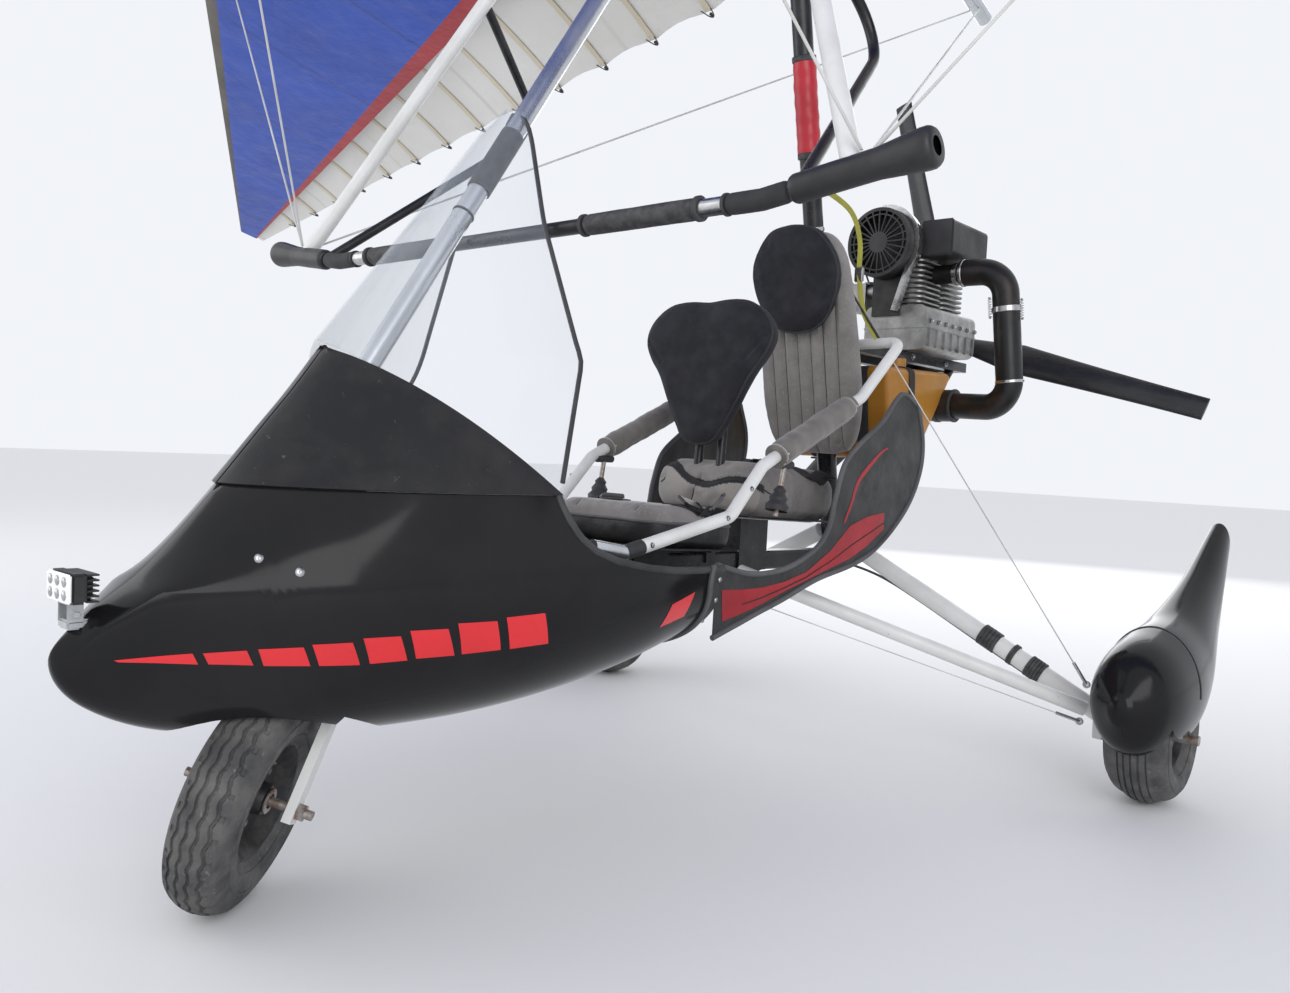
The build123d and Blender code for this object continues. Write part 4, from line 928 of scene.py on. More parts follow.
# wing: in its own frame, x across, y along the keel, z off it; the tilt and origin place it
wingLook = {
    "origin": (0, 0.030, 2.680), "tilt": 15, "halfSpan": 4.990,
    "nose": -1.680, "tipLeading": 1.500, "rootTrailing": 0.980, "tipTrailing": 1.660,
    "droop": 0.250, "base": 0.0253,
    # share of the half span, camber and depth
    "stations": [(0, 0.150, 0.064), (0.34, 0.120, 0.050), (0.7, 0.078, 0.034), (0.96, 0.026, 0.016),
                 (1.0, 0.010, 0.010)],
    # shares of the chord: the double surface, its red band, its dark edge, and the upper side's bands
    "doubleShare": 0.71, "bandShare": 0.058, "edgeShare": 0.035, "upperBands": (0.0625, 0.25),
    "walls": (0.0016, 0.0014), "draw": 0.010, "billow": 0.006,
    "battenPitch": 0.30, "battenReach": 4.6, "pocket": (0.026, 0.004),
    "shockCord": ((-0.022, -0.028), (-0.012, 0.006), (0, 0.018), (0.012, 0.006), (0.022, -0.028)),
}


def wingPlace(point):
    tilt = math.radians(wingLook["tilt"])
    x, y, z = point
    return Vector(wingLook["origin"]) + Vector((x, y * math.cos(tilt) + z * math.sin(tilt),
                                                -y * math.sin(tilt) + z * math.cos(tilt)))


def wingSection(position):
    # leading y, trailing y, floor z, camber and depth at a signed share of the half span
    look, table, share = wingLook, wingLook["stations"], abs(position)
    index, t = stationsAt(table, share)
    camber, depth = (mix(table[index][k], table[index + 1][k], t) for k in (1, 2))
    leading = mix(look["nose"], look["tipLeading"], share)
    trailing = mix(look["rootTrailing"], look["tipTrailing"], share)
    return leading, trailing, look["base"] - share * look["droop"], camber, depth


def upperPoint(position, chordShare, lift=0.0):
    leading, trailing, floor, camber, depth = wingSection(position)
    y, z = arcThrough((leading, floor + depth * 0.5), (mix(leading, trailing, 0.4), floor + depth + camber * 0.7),
                      (trailing, floor + 0.006 + camber * 0.2), chordShare)
    return Vector((position * wingLook["halfSpan"], y, z + lift))


def lowerPoint(position, chordShare, lift=0.0):
    leading, trailing, floor, camber, depth = wingSection(position)
    if chordShare < 0.06:
        z = mix(floor + depth * 0.5, floor, math.sin(chordShare / 0.06 * math.pi / 2))
    else:
        t = min((chordShare - 0.06) / (wingLook["doubleShare"] - 0.06), 1.0)
        z = floor + camber * 0.3 * t - 0.012 * math.sin(math.pi * t) * (1 - abs(position))
    return Vector((position * wingLook["halfSpan"], mix(leading, trailing, chordShare), z + lift))


def makeSkin(name, rows, paintAt, paintNames, wall, offset, instead):
    # each face takes its paint by its share of the row
    bundle, columns = rowBundle([[wingPlace(point) for point in row] for row in rows]), len(rows[0]) - 1
    bundle["paint"] = [paintAt(index % columns / columns) for index in range(len(bundle["faces"]))]
    skin = makeObject(name, bundle, *paintNames, sharp=60)
    thicken(skin, wall, offset, 60)
    fit(skin, "wing", instead)


def makeSail():
    look, double, spans = wingLook, wingLook["doubleShare"], spread(-1, 1, 160)
    bay = look["battenPitch"] / look["halfSpan"]
    edgeEnd, blueEnd = look["upperBands"]
    rows = []
    for position in spans:
        # the trailing edge draws in between the battens, and the cloth billows there
        arch = math.sin(math.pi * (abs(position) / bay % 1))
        draw = look["draw"] * arch * (1 - abs(position) ** 3)
        rows.append([upperPoint(position, c * (1 - draw * clamp((c - 0.6) / 0.4)),
                                -look["billow"] * arch * math.sin(math.pi * c)) for c in spread(0, 1, 48)])
    makeSkin("sailUpper", rows, lambda share: 1 if share < edgeEnd else 2 if share < blueEnd else 0,
             ("sailWhite", "sailEdge", "sailBlue"), look["walls"][0], -1, ["sail"])
    # lower skin of the double surface: a strip along the leading edge, blue, then the red band
    rows = [[lowerPoint(position, c, -0.001) for c in spread(0.0, double, 44)] for position in spans]
    makeSkin("sailLower", rows, lambda share: (1 if share * double < look["edgeShare"]
                                               else 2 if share * double > double - look["bandShare"] else 0),
             ("sailBlue", "sailEdge", "sailRed"), look["walls"][1], 1, ())

    # batten pockets under the single surface, and their tips with shock cord at the trailing edge
    pockets, tips = newBundles(2)
    for k in range(int(look["battenReach"] / look["battenPitch"])):
        for position in (-bay * (k + 1), bay * (k + 1)):
            path = [wingPlace(upperPoint(position, c, -0.006)) for c in spread(double - 0.02, 0.995, 16)]
            addStrap(pockets, path, *look["pocket"], (1, 0, 0))
            tip = upperPoint(position, 1.0, -0.006)
            addTube(tips, [wingPlace(tip), wingPlace(tip + Vector((0, 0.016, 0)))], 0.006, 10)
            loop = [wingPlace(tip + Vector((dx, dy, -0.003))) for dx, dy in look["shockCord"]]
            addTube(tips, smoothPath(loop, 4), 0.0022, 8)
    addPieces("wing", ("battenPockets", pockets, "sailCream", "sail_cloth"),
              ("battenTips", tips, "sleeveBlack", "black_satin"))


makeSail()
print("sail made")

# soft pieces: a closed form is gridded, swelled by cloth pressure, capped and rounded once
clothSettings = {"quality": 4, "use_pressure": True, "tension_stiffness": 12, "compression_stiffness": 12}
voxelSize, swellFrames = 0.006, 20


def puff(piece, pressure, cap):
    grid = piece.modifiers.new("grid", "REMESH")
    grid.mode, grid.voxel_size = "VOXEL", voxelSize
    settle(piece)
    rest = [vertex.co.copy() for vertex in piece.data.vertices]
    cloth = piece.modifiers.new("cloth", "CLOTH")
    for key, value in clothSettings.items():
        setattr(cloth.settings, key, value)
    cloth.settings.uniform_pressure_force = pressure
    cloth.settings.effector_weights.gravity = 0
    cloth.collision_settings.use_collision = False
    for frameNumber in range(1, swellFrames + 1):
        scene.frame_set(frameNumber)
    settle(piece)
    scene.frame_set(1)
    for vertex, before in zip(piece.data.vertices, rest):
        moved = vertex.co - before
        if moved.length > cap:
            vertex.co = before + moved * (cap / moved.length)
    relax = piece.modifiers.new("relax", "SMOOTH")
    relax.factor, relax.iterations = 0.5, 6
    piece.modifiers.new("finer", "SUBSURF").levels = 1
    settle(piece)
    smooth(piece.data, 180)


def pinch(piece, path, width, depth, normal):
    # a sewn channel: the surface near the path sinks against the given direction
    tree = KDTree(len(path))
    for index, point in enumerate(path):
        tree.insert(point, index)
    tree.balance()
    normal = Vector(normal).normalized()
    for vertex in piece.data.vertices:
        near, _, _ = tree.find(vertex.co)
        away = vertex.co - near
        flat = (away - normal * away.dot(normal)).length
        if flat < width * 3 and abs(away.dot(normal)) < 0.05:
            vertex.co = vertex.co - normal * (depth * math.exp(-(flat / width) ** 2))


def landed(piece, path, direction, lift=0.0):
    # each point of the path moved along the direction until it meets the piece
    tree, direction = treeOf(piece), Vector(direction).normalized()
    result = []
    for point in path:
        hit = tree.ray_cast(Vector(point) - direction * 0.4, direction)[0]
        if hit is None:
            hit = tree.find_nearest(Vector(point))[0]
        result.append(hit - direction * lift)
    return result


def dense(points, pitch=0.004):
    points = [Vector(point) for point in points]
    path = []
    for start, end in zip(points, points[1:]):
        path += straight(start, end, max(1, round((end - start).length / pitch)))[:-1]
    return path + [points[-1]]


def outlinePath(half, steps):
    # a closed outline from its half, top middle to bottom middle, as (x, z)
    run = [(point.x, point.y) for point in smoothPairs(half, steps)]
    return run + [(-x, z) for x, z in reversed(run[1:-1])]


def padForm(outline, depth, place, edge=0.05):
    # a cushioned panel: the outline in steps from the rim to the face, on both sides
    middle = Vector([sum(point[k] for point in outline) / len(outline) for k in (0, 1)])
    levels = [(-0.5, 1 - edge), (-0.42, 1 - edge * 0.3), (-0.2, 1.0), (0.2, 1.0), (0.42, 1 - edge * 0.3),
              (0.5, 1 - edge)]
    return rowBundle([[place @ Vector((mix(middle.x, x, size), level * depth, mix(middle.y, z, size)))
                       for x, z in outline] for level, size in levels], wrap=True, caps=True)


def roundedBox(turn):
    # a point of an outline between a circle and a square
    return tuple(math.copysign(abs(value) ** 0.42, value) for value in (math.cos(turn), math.sin(turn)))


def boxForm(size, place, edge, bulge):
    # a rounded block whose top bows out a little
    rows = []
    width, length, height = size
    for level, inset in ((-0.5, edge), (-0.4, edge * 0.3), (-0.15, 0), (0.15, 0), (0.4, edge * 0.3), (0.5, edge)):
        row = []
        for wide, long in map(roundedBox, turns(64, 0.5)):
            x, y = wide * (width / 2 - inset), long * (length / 2 - inset)
            crown = bulge * (1 - (2 * x / width) ** 2) * (1 - (2 * y / length) ** 2) if level > 0.3 else 0
            row.append(place @ Vector((x, y, level * height + crown)))
        rows.append(row)
    return rowBundle(rows, wrap=True, caps=True)


def paintWhere(piece, index, test):
    for face in piece.data.polygons:
        if test(face.center):
            face.material_index = index


def tilted(centre, degrees):
    return Matrix.Translation(centre) @ Matrix.Rotation(math.radians(degrees), 4, "X")


def weltBundle(piece, points, radius):
    # piping that hugs the cover along a closed line
    tree, bundle = treeOf(piece), newBundle()
    addHoop(bundle, [tree.find_nearest(point)[0] for point in points], radius, 8)
    return bundle


def sewChannel(piece, seams, ends, direction, width, depth, spacing, thick, lift=-0.0006):
    # a straight seam between two places, sunk into the cover, with its thread
    line = landed(piece, dense(ends), direction)
    pinch(piece, line, width, depth, -Vector(direction))
    addTube(seams, landed(piece, line[::spacing], direction, lift), thick, 6)


def fitPad(piece, instead=()):
    fit(piece, "trike", instead)


# front seat: grey top with black sides and piping
frontSeatLook = {"centre": (0, 0.950, 0.614), "size": (0.362, 0.312, 0.078), "tilt": -3, "sideDepth": 0.026,
                 "seams": (-0.09, 0.09)}


def makeFrontSeat():
    look, seams = frontSeatLook, newBundle()
    width, length, height = look["size"]
    place = tilted(fromAxle(*look["centre"]), look["tilt"])
    inverse, limit = place.inverted(), height / 2 - look["sideDepth"]
    seat = makeObject("frontCushion", boxForm(look["size"], place, 0.012, 0.010), "seatGrey", "vinylBlack")
    puff(seat, 4.0, 0.010)
    paintWhere(seat, 1, lambda centre: (inverse @ centre).z < limit)
    rim = [place @ Vector((x * (width / 2 + 0.004), y * (length / 2 + 0.004), limit))
           for x, y in map(roundedBox, turns(96, 0.5))]
    piping = weltBundle(seat, rim, 0.0035)
    for x in look["seams"]:
        ends = [place @ Vector((x, y, 0.1)) for y in (0.02 - length / 2, length / 2 - 0.02)]
        sewChannel(seat, seams, ends, (0, 0, -1), 0.007, 0.006, 3, 0.0013, -0.0005)
    fitPad(seat, ["front_cushion"])
    addPieces("trike", ("frontCushionPiping", piping, "pipingGrey", "black_cloth"),
              ("frontCushionSeams", seams, "belt", "black_cloth"))


makeFrontSeat()
print("front seat made")

# rear seat: a tall rounded front with a dark wave band between the front face and the top
rearSeatLook = {
    "centre": (0, 1.350, 0.690), "size": (0.352, 0.424, 0.112), "tilt": -3,
    "wave": [(-0.190, 0.028), (-0.150, 0.046), (-0.095, 0.044), (-0.030, 0.010), (0.030, 0.000), (0.085, 0.014),
             (0.130, 0.014), (0.160, -0.004), (0.180, -0.050)],
    "bandWidth": 0.017,
    "seam": ((0.0, 0.02), (-0.035, -0.055)),
}


def makeRearSeat():
    look, edges = rearSeatLook, newBundle()
    place = tilted(fromAxle(*look["centre"]), look["tilt"])
    seat = makeObject("rearCushion", boxForm(look["size"], place, 0.022, 0.012), "seatGrey", "belt", "seatPale")
    puff(seat, 4.0, 0.012)
    inverse, frontEdge = place.inverted(), -look["size"][1] / 2
    wave = smoothPairs(look["wave"], 6)

    def aboveWave(spot):
        for start, end in zip(wave, wave[1:]):
            if start.x <= spot.x <= end.x:
                return spot.z - mix(start.y, end.y, (spot.x - start.x) / max(end.x - start.x, 1e-6))
        return spot.z - wave[0 if spot.x < wave[0].x else -1].y

    def onFront(places, lift=0.0):
        return landed(seat, [place @ Vector((x, frontEdge - 0.1, z)) for x, z in places], (0, 1, 0), lift)

    front = onFront([(point.x, point.y + 0.006) for point in wave])
    pinch(seat, dense(front), 0.006, 0.006, (0, -1, 0))
    seam = onFront([(point.x, point.y) for point in dense([(x, z, 0) for x, z in look["seam"]])])
    pinch(seat, seam, 0.006, 0.006, (0, -1, 0))

    def isFace(centre):
        spot = inverse @ centre
        return spot.y < frontEdge + 0.05 and aboveWave(spot) < 0

    def isBand(centre):
        spot = inverse @ centre
        return spot.y < frontEdge + 0.06 and 0 <= aboveWave(spot) <= look["bandWidth"]

    paintWhere(seat, 2, isFace)
    paintWhere(seat, 1, isBand)
    for up in (0.0, look["bandWidth"]):
        addTube(edges, onFront([(point.x, point.y + up) for point in wave], 0.0003), 0.0019, 8)
    addTube(edges, landed(seat, seam[::2], (0, 1, 0), -0.0006), 0.0016, 8)
    fitPad(seat, ["rear_cushion"])
    addPieces("trike", ("rearCushionEdges", edges, "belt", "black_cloth"))


makeRearSeat()
print("rear seat made")

# front backrest, a black shield on its post, with a dart on each side where the cover is sewn to shape
frontBackLook = {
    "centre": (0, 1.160, 0.975), "tilt": -4, "depth": 0.046,
    "half": [(0, 0.180), (0.055, 0.184), (0.110, 0.180), (0.152, 0.162), (0.184, 0.132), (0.198, 0.098),
             (0.192, 0.066), (0.172, 0.030), (0.143, -0.010), (0.108, -0.076), (0.074, -0.134), (0.044, -0.170),
             (0, -0.180)],
    "dart": ((0.176, 0.078), (0.126, 0.026)), "welt": 0.0032,
}


def makeFrontBack():
    look = frontBackLook
    place, outline = tilted(fromAxle(*look["centre"]), look["tilt"]), outlinePath(look["half"], 5)
    back = makeObject("frontBackrest", padForm(outline, look["depth"], place), "seatBlack")
    puff(back, 3.5, 0.008)
    rim = [place @ Vector((x * 1.018, -0.36 * look["depth"], z * 1.018)) for x, z in outline]
    welt = weltBundle(back, rim, look["welt"])
    for side in (-1, 1):
        dart = landed(back, dense([place @ Vector((side * x, -0.1, z)) for x, z in look["dart"]]), (0, 1, 0))
        pinch(back, dart, 0.006, 0.005, (0, -1, 0))
    fitPad(back, ["front_backrest"])
    addPieces("trike", ("frontBackrestWelt", welt, "belt", "black_cloth"))


makeFrontBack()

# rear backrest, a grey ribbed pad against the mast, and the black head pad in front of it
rearBackLook = {
    "centreZ": 1.090, "depth": 0.046, "mastFoot": (0.668, 0.5277), "mastTop": (0.264, 2.395), "offMast": (0.027, 0.030, 0.0003),
    "half": [(0, 0.318), (0.09, 0.302), (0.134, 0.236), (0.151, 0.13), (0.158, 0), (0.158, -0.175), (0.116, -0.290),
             (0, -0.306)],
    "channels": (-0.104, -0.062, -0.021, 0.021, 0.062, 0.104),
    "head": [(0, 0.330), (0.070, 0.318), (0.122, 0.260), (0.139, 0.200), (0.128, 0.138), (0.097, 0.080),
             (0.052, 0.046), (0, 0.038)],
    "headDepth": 0.034, "headMiddle": 0.185, "welt": 0.0034,
}


def makeRearBack():
    look, seams = rearBackLook, newBundle()
    (footY, footZ), (topY, topZ) = look["mastFoot"], look["mastTop"]
    lean = math.degrees(math.atan2(footY - topY, topZ - footZ))
    mastY = footY - (look["centreZ"] - footZ) * math.tan(math.radians(lean))
    centreY = mastY - sum(look["offMast"]) / math.cos(math.radians(lean))
    place = tilted(Vector((0, centreY, look["centreZ"])), lean)
    back = makeObject("rearBackrest", padForm(outlinePath(look["half"], 6), look["depth"], place), "seatGrey")
    puff(back, 4.0, 0.009)
    for x in look["channels"]:
        ends = [place @ Vector((x, -0.1, z)) for z in (0.30 - abs(x) * 0.6, -0.28)]
        sewChannel(back, seams, ends, (0, 1, 0), 0.007, 0.008, 4, 0.0013)
    fitPad(back, ["rear_backrest"])
    addPieces("trike", ("rearBackrestSeams", seams, "belt", "black_cloth"))
    headPlace = place @ Matrix.Translation((0, -0.030 - look["headDepth"] / 2 + 0.004, 0))
    outline, middle = outlinePath(look["head"], 6), look["headMiddle"]
    head = makeObject("headPad", padForm(outline, look["headDepth"], headPlace), "seatBlack")
    puff(head, 3.5, 0.006)
    rim = [headPlace @ Vector((x * 1.01, -0.36 * look["headDepth"], mix(middle, z, 1.01))) for x, z in outline]
    welt = weltBundle(head, rim, look["welt"])
    fitPad(head)
    addPieces("trike", ("headPadWelt", welt, "belt", "black_cloth"))


makeRearBack()
print("backrests made")

# foam sleeves on the rails beside the rear seat, ribbed by wear and held by ties near their ends
sleeveLook = {"start": (0.262, 1.089, 0.783), "end": (0.262, 1.393, 0.915), "radius": 0.029, "bore": 0.54,
              "wobble": 0.0022, "ties": (0.03, 0.97), "slitPlace": 7}


def makeFoamSleeves():
    look = sleeveLook
    for side, name in ((1, "portFoamSleeve"), (-1, "starboardFoamSleeve")):
        start, end = (fromAxle(side * x, y, z) for x, y, z in (look["start"], look["end"]))
        path, axis = straight(start, end, 60), (end - start).normalized()
        rows = tubeRows(path, look["radius"], 28)
        for index, row in enumerate(rows):
            share = index / 60
            pull = 0.004 * sum(math.exp(-((share - tie) / 0.02) ** 2) for tie in look["ties"])
            for spot, point in enumerate(row):
                ripple = noise.noise(point * 26) * look["wobble"] + math.sin(share * 55 + spot * 0.3) * 0.0004
                slit = 0.004 * math.exp(-((spot - look["slitPlace"]) / 0.7) ** 2)
                row[spot] = point + (point - path[index]).normalized() * (ripple - pull - slit)
        inner = [[path[index] + (point - path[index]) * look["bore"] for point in rows[index]] for index in (0, -1)]
        sleeve = makeObject(name, rowBundle([inner[0]] + rows + [inner[-1]], wrap=True), "foamGrey", sharp=60)
        fitPad(sleeve, ["arm_pads"] if side == 1 else ())
        ties = newBundle()
        for share in look["ties"]:
            ring = [start.lerp(end, share) + (point - path[0]) * 0.9 for point in rows[0]]
            addHoop(ties, ring, 0.0016, 6)
            addBox(ties, ring[3] + axis * 0.002, (0.006, 0.008, 0.005), 0.001)
        addPieces("trike", (name + "Ties", ties, "ropeWhite", "black_cloth"))


makeFoamSleeves()
print("foam sleeves made")

# fabric sides between the pod and the engine, with rolled edges and red swooshes
clothLook = {
    "x": 0.2905, "wall": 0.0018, "flat": (0.400, 0.960),
    "upper": [(0.8506, 0.556), (0.978, 0.530), (1.117, 0.535), (1.234, 0.572), (1.291, 0.622), (1.312, 0.700),
              (1.345, 0.775), (1.420, 0.832), (1.515, 0.885), (1.610, 0.960), (1.700, 0.934)],
    "lower": [(0.8506, 0.404), (0.978, 0.436), (1.110, 0.466), (1.240, 0.500), (1.400, 0.528), (1.500, 0.560),
              (1.580, 0.605), (1.665, 0.668), (1.730, 0.760), (1.735, 0.850), (1.700, 0.934)],
    "stripeUpper": [(0.872, 0.503), (0.94, 0.499), (1.02, 0.498), (1.11, 0.505), (1.20, 0.521), (1.30, 0.566),
                    (1.381, 0.624), (1.46, 0.646), (1.541, 0.655)],
    "stripeLower": [(0.880, 0.436), (0.94, 0.446), (1.02, 0.461), (1.11, 0.483), (1.20, 0.502), (1.30, 0.524),
                    (1.39, 0.545), (1.47, 0.575), (1.541, 0.612)],
    "thin": [(1.545, 0.819), (1.510, 0.806), (1.479, 0.787), (1.443, 0.762), (1.411, 0.736), (1.394, 0.709),
             (1.384, 0.684), (1.369, 0.656), (1.355, 0.631)],
    "thinWidth": 0.013, "proud": 0.0016, "hem": 0.0062,
}


def splitEvenly(points, count):
    path = dense(points, 0.001)
    return [path[round(k * (len(path) - 1) / (count - 1))] for k in range(count)]


def makeSideCloths():
    look = clothLook
    upper, lower = (splitEvenly(smoothPairs(look[key]), 121) for key in ("upper", "lower"))
    top, low = (splitEvenly([(y, z, 0) for y, z in look[key]], 60) for key in ("stripeUpper", "stripeLower"))
    thin = smoothPairs(look["thin"], 5)
    for side, name in ((1, "portSideCloth"), (-1, "starboardSideCloth")):

        def surface(place, lift=0.0):
            y, z, _ = place
            billow = (0.0035 * math.sin(y * 9.0) * math.sin((z - 0.40) * 7)
                      + 0.0016 * noise.noise(Vector((side, y * 9, z * 12))))
            return fromAxle(side * (look["x"] + billow + lift), y, z)

        rows = [[surface(point) for point in straight(high, foot, 24)] for high, foot in zip(upper, lower)]
        cloth = makeObject(name, rowBundle(rows), "vinylBlack", sharp=60)
        thicken(cloth, look["wall"], 0, 50)
        hems, red, seam = newBundles(3)
        for edge in (upper, lower):
            addTube(hems, [surface(point) for point in edge], look["hem"], 10)
        addRows(red, [[surface(point, look["proud"]) for point in straight(a, b, 8)] for a, b in zip(top, low)])
        rows = []
        for index, point in enumerate(thin):
            ahead = along(thin, index)
            half = look["thinWidth"] * 0.5 * math.sin(math.pi * mix(0.04, 0.9, index / (len(thin) - 1))) ** 0.7
            rows.append([surface(point + Vector((-ahead.y, ahead.x, 0)) * (half * k), look["proud"])
                         for k in (-1, 0, 1)])
        addRows(red, rows)
        addTube(seam, [surface(a.lerp(b, 0.62), 0.002) for a, b in zip(top, low)][6:], 0.0014, 6)
        fit(cloth, "trike", ["side_cloths"] if side == 1 else ())
        extras = addPieces("trike", (name + "Hems", hems, "pipingGrey", "black_cloth"),
                           (name + "Red", red, "vinylRed", "black_cloth"),
                           (name + "Seam", seam, "belt", "black_cloth"))


makeSideCloths()
print("side cloths made")

# the flap over the pod's rear edge, its bead and rivets
flapLook = {
    "bead": [(0.806, 0.560), (0.800, 0.545), (0.797, 0.522), (0.803, 0.492), (0.812, 0.455), (0.818, 0.415),
             (0.820, 0.380)],
    "rear": 0.846,
    "rivets": [(0.830, 0.530), (0.834, 0.487), (0.836, 0.440)],
}


def makeRearFlaps():
    look, (flap, bead, rivets) = flapLook, newBundles(3)
    path = smoothPairs(look["bead"], 6)
    for side in (-1, 1):

        def skin(y, z, lift):
            return fromAxle(side * (podHalfWidth(min(y, 0.848), z) + lift), y, z)

        addRows(flap, [[skin(y, p.y, 0.0035) for y in spread(p.x, look["rear"], 8)]
                       + [skin(y, p.y, 0.0004) for y in spread(look["rear"], p.x, 8)] for p in path],
                wrap=True, caps=True)
        addTube(bead, [skin(p.x, p.y, 0.004) for p in path], 0.0058, 10)
        for y, z in look["rivets"]:
            addDome(rivets, skin(y, z, 0.0034), (side, 0, 0), 0.0055, 0.003)
    addPieces("trike", ("rearFlaps", flap, "vinylBlack", "black_cloth"),
              ("rearFlapBeads", bead, "pipingGrey", "black_cloth"),
              ("rearFlapRivets", rivets, "brightSteel", "steel"))


makeRearFlaps()
print("rear flaps made")

# rail ends ahead of the white tube, hull bolts and the joints along the rails
railLook = {
    "x": 0.262,
    "silver": [(0.512, 0.6035), (0.602, 0.5885)], "silverRadius": 0.0142,
    "black": [(0.600, 0.5885), (0.648, 0.5975)], "blackRadius": 0.0152,
    "bolts": [(0.665, 0.602), (0.905, 0.650), (0.985, 0.712)],
    "hullBolts": [(-0.070, 0.596), (-0.028, 0.578)],
}


def makeRailFittings():
    look, (silver, black, bolts) = railLook, newBundles(3)
    for side in (-1, 1):
        for bundle, key, pitch in ((silver, "silver", 0.01), (black, "black", 0.008)):
            ends = [fromAxle(side * look["x"], y, z) for y, z in look[key]]
            addTube(bundle, dense(ends, pitch), look[key + "Radius"], 20)
        for y, z in look["bolts"]:
            addDome(bolts, fromAxle(side * (look["x"] + 0.0135), y, z), (side, 0, 0), 0.0062, 0.004, 6)
        for y, z in look["hullBolts"]:
            place = fromAxle(side * (podHalfWidth(y, z) - 0.0005), y, z)
            addDome(bolts, place, (side, -0.35, 0.25), 0.0075, 0.004)
    addPieces("trike", ("railEndsSilver", silver, "silverTube", "silver_tube"),
              ("railEndsBlack", black, "edgeRubber", "black_satin"), ("railBolts", bolts, "brightSteel", "steel"))


makeRailFittings()
print("rail fittings made")

# belts over the seats: the seat below, the path, and the places of the buckles as shares of it
beltLook = {
    "runs": [
        ("frontCushion", (0.30, 0.62), [(-0.205, 1.020, 0.655), (-0.168, 1.000, 0.668), (-0.120, 0.960, 0.671),
                                        (-0.060, 0.915, 0.670), (0.000, 0.870, 0.668)]),
        ("frontCushion", (0.30, 0.62), [(0.205, 1.020, 0.655), (0.172, 0.985, 0.668), (0.140, 0.940, 0.670),
                                        (0.120, 0.890, 0.668)]),
        ("rearCushion", (0.42, 0.55), [(-0.190, 1.480, 0.745), (-0.120, 1.440, 0.768), (-0.020, 1.400, 0.770),
                                       (0.080, 1.370, 0.770), (0.150, 1.400, 0.764), (0.196, 1.450, 0.735)]),
    ],
    "width": 0.046, "top": 0.0040, "bottom": 0.0016,
}


def makeBelts():
    look, (webs, metal) = beltLook, newBundles(2)
    down, lifts = Vector((0, 0, -1)), [Vector((0, 0, look[key])) for key in ("top", "bottom")]
    for seatName, buckles, points in look["runs"]:
        tree = treeOf(bpy.data.objects[seatName])
        path = smoothPath([fromAxle(*point) for point in points], 10)
        rows, last = [], len(path) - 1
        for index, point in enumerate(path):
            ahead, row = along(path, index), []
            for k in range(-3, 4):
                spot = point + Vector((-ahead.y, ahead.x, 0)).normalized() * (look["width"] / 2 * k / 3)
                hit = tree.ray_cast(spot - down * 0.2, down)[0]
                row.append(Vector((spot.x, spot.y, hit.z if hit else spot.z - 0.004)))
            rows.append(row)
        for _ in range(3):
            heights = [[point.z for point in row] for row in rows]
            for r in range(1, last):
                for c in range(7):
                    rows[r][c].z = (heights[r - 1][c] + heights[r][c] * 2 + heights[r + 1][c]) / 4
        addRows(webs, [[point + lifts[0] for point in row] + [point + lifts[1] for point in reversed(row)]
                       for row in rows], wrap=True, caps=True)
        for share in buckles:
            index = round(share * last)
            at = rows[index]
            ahead = (rows[min(index + 2, last)][3] - at[3]).normalized()
            wide = (at[6] - at[0]).normalized()
            turn = Matrix((wide, ahead, wide.cross(ahead))).transposed().to_4x4()
            addBox(metal, at[3] - down * 0.009, (0.054, 0.040, 0.010), 0.003, turn)
            for end in (-1, 1):
                addBox(metal, at[3] - down * 0.012 + ahead * (0.022 * end), (0.050, 0.008, 0.008), 0.002, turn)
    addPieces("trike", ("seatBelts", webs, "belt", "black_cloth"), ("beltBuckles", metal, "blackTube", "steel"))


makeBelts()
print("belts made")

# T handle levers beside the seat: side, then y and z of the head and the foot
leverLook = {
    "x": 0.255, "stem": 0.006, "grip": 0.0092, "halfGrip": 0.028,
    "levers": ((-1, (1.079, 0.757), (1.060, 0.640)), (1, (1.136, 0.766), (1.110, 0.650))),
    "boot": [(0.026, 0), (0.0275, 0.012), (0.019, 0.022), (0.021, 0.030), (0.013, 0.042), (0.015, 0.048),
             (0.0065, 0.058)],
}


def makeHandControls():
    look, (stems, grips) = leverLook, newBundles(2)
    for side, top, foot in look["levers"]:
        head, base = (fromAxle(side * look["x"], y, z) for y, z in (top, foot))
        reach = Vector((0, look["halfGrip"], 0))
        addTube(stems, dense([base, head], 0.01), look["stem"], 12)
        addTube(grips, dense([head - reach, head + reach], 0.004), look["grip"], 14)
        addLathe(grips, base.lerp(head, 0.1), head - base, look["boot"], 20)
    addPieces("trike", ("leverStems", stems, "plainSteel", "steel"),
              ("leverGrips", grips, "edgeRubber", "black_satin"))


makeHandControls()
print("hand controls made")

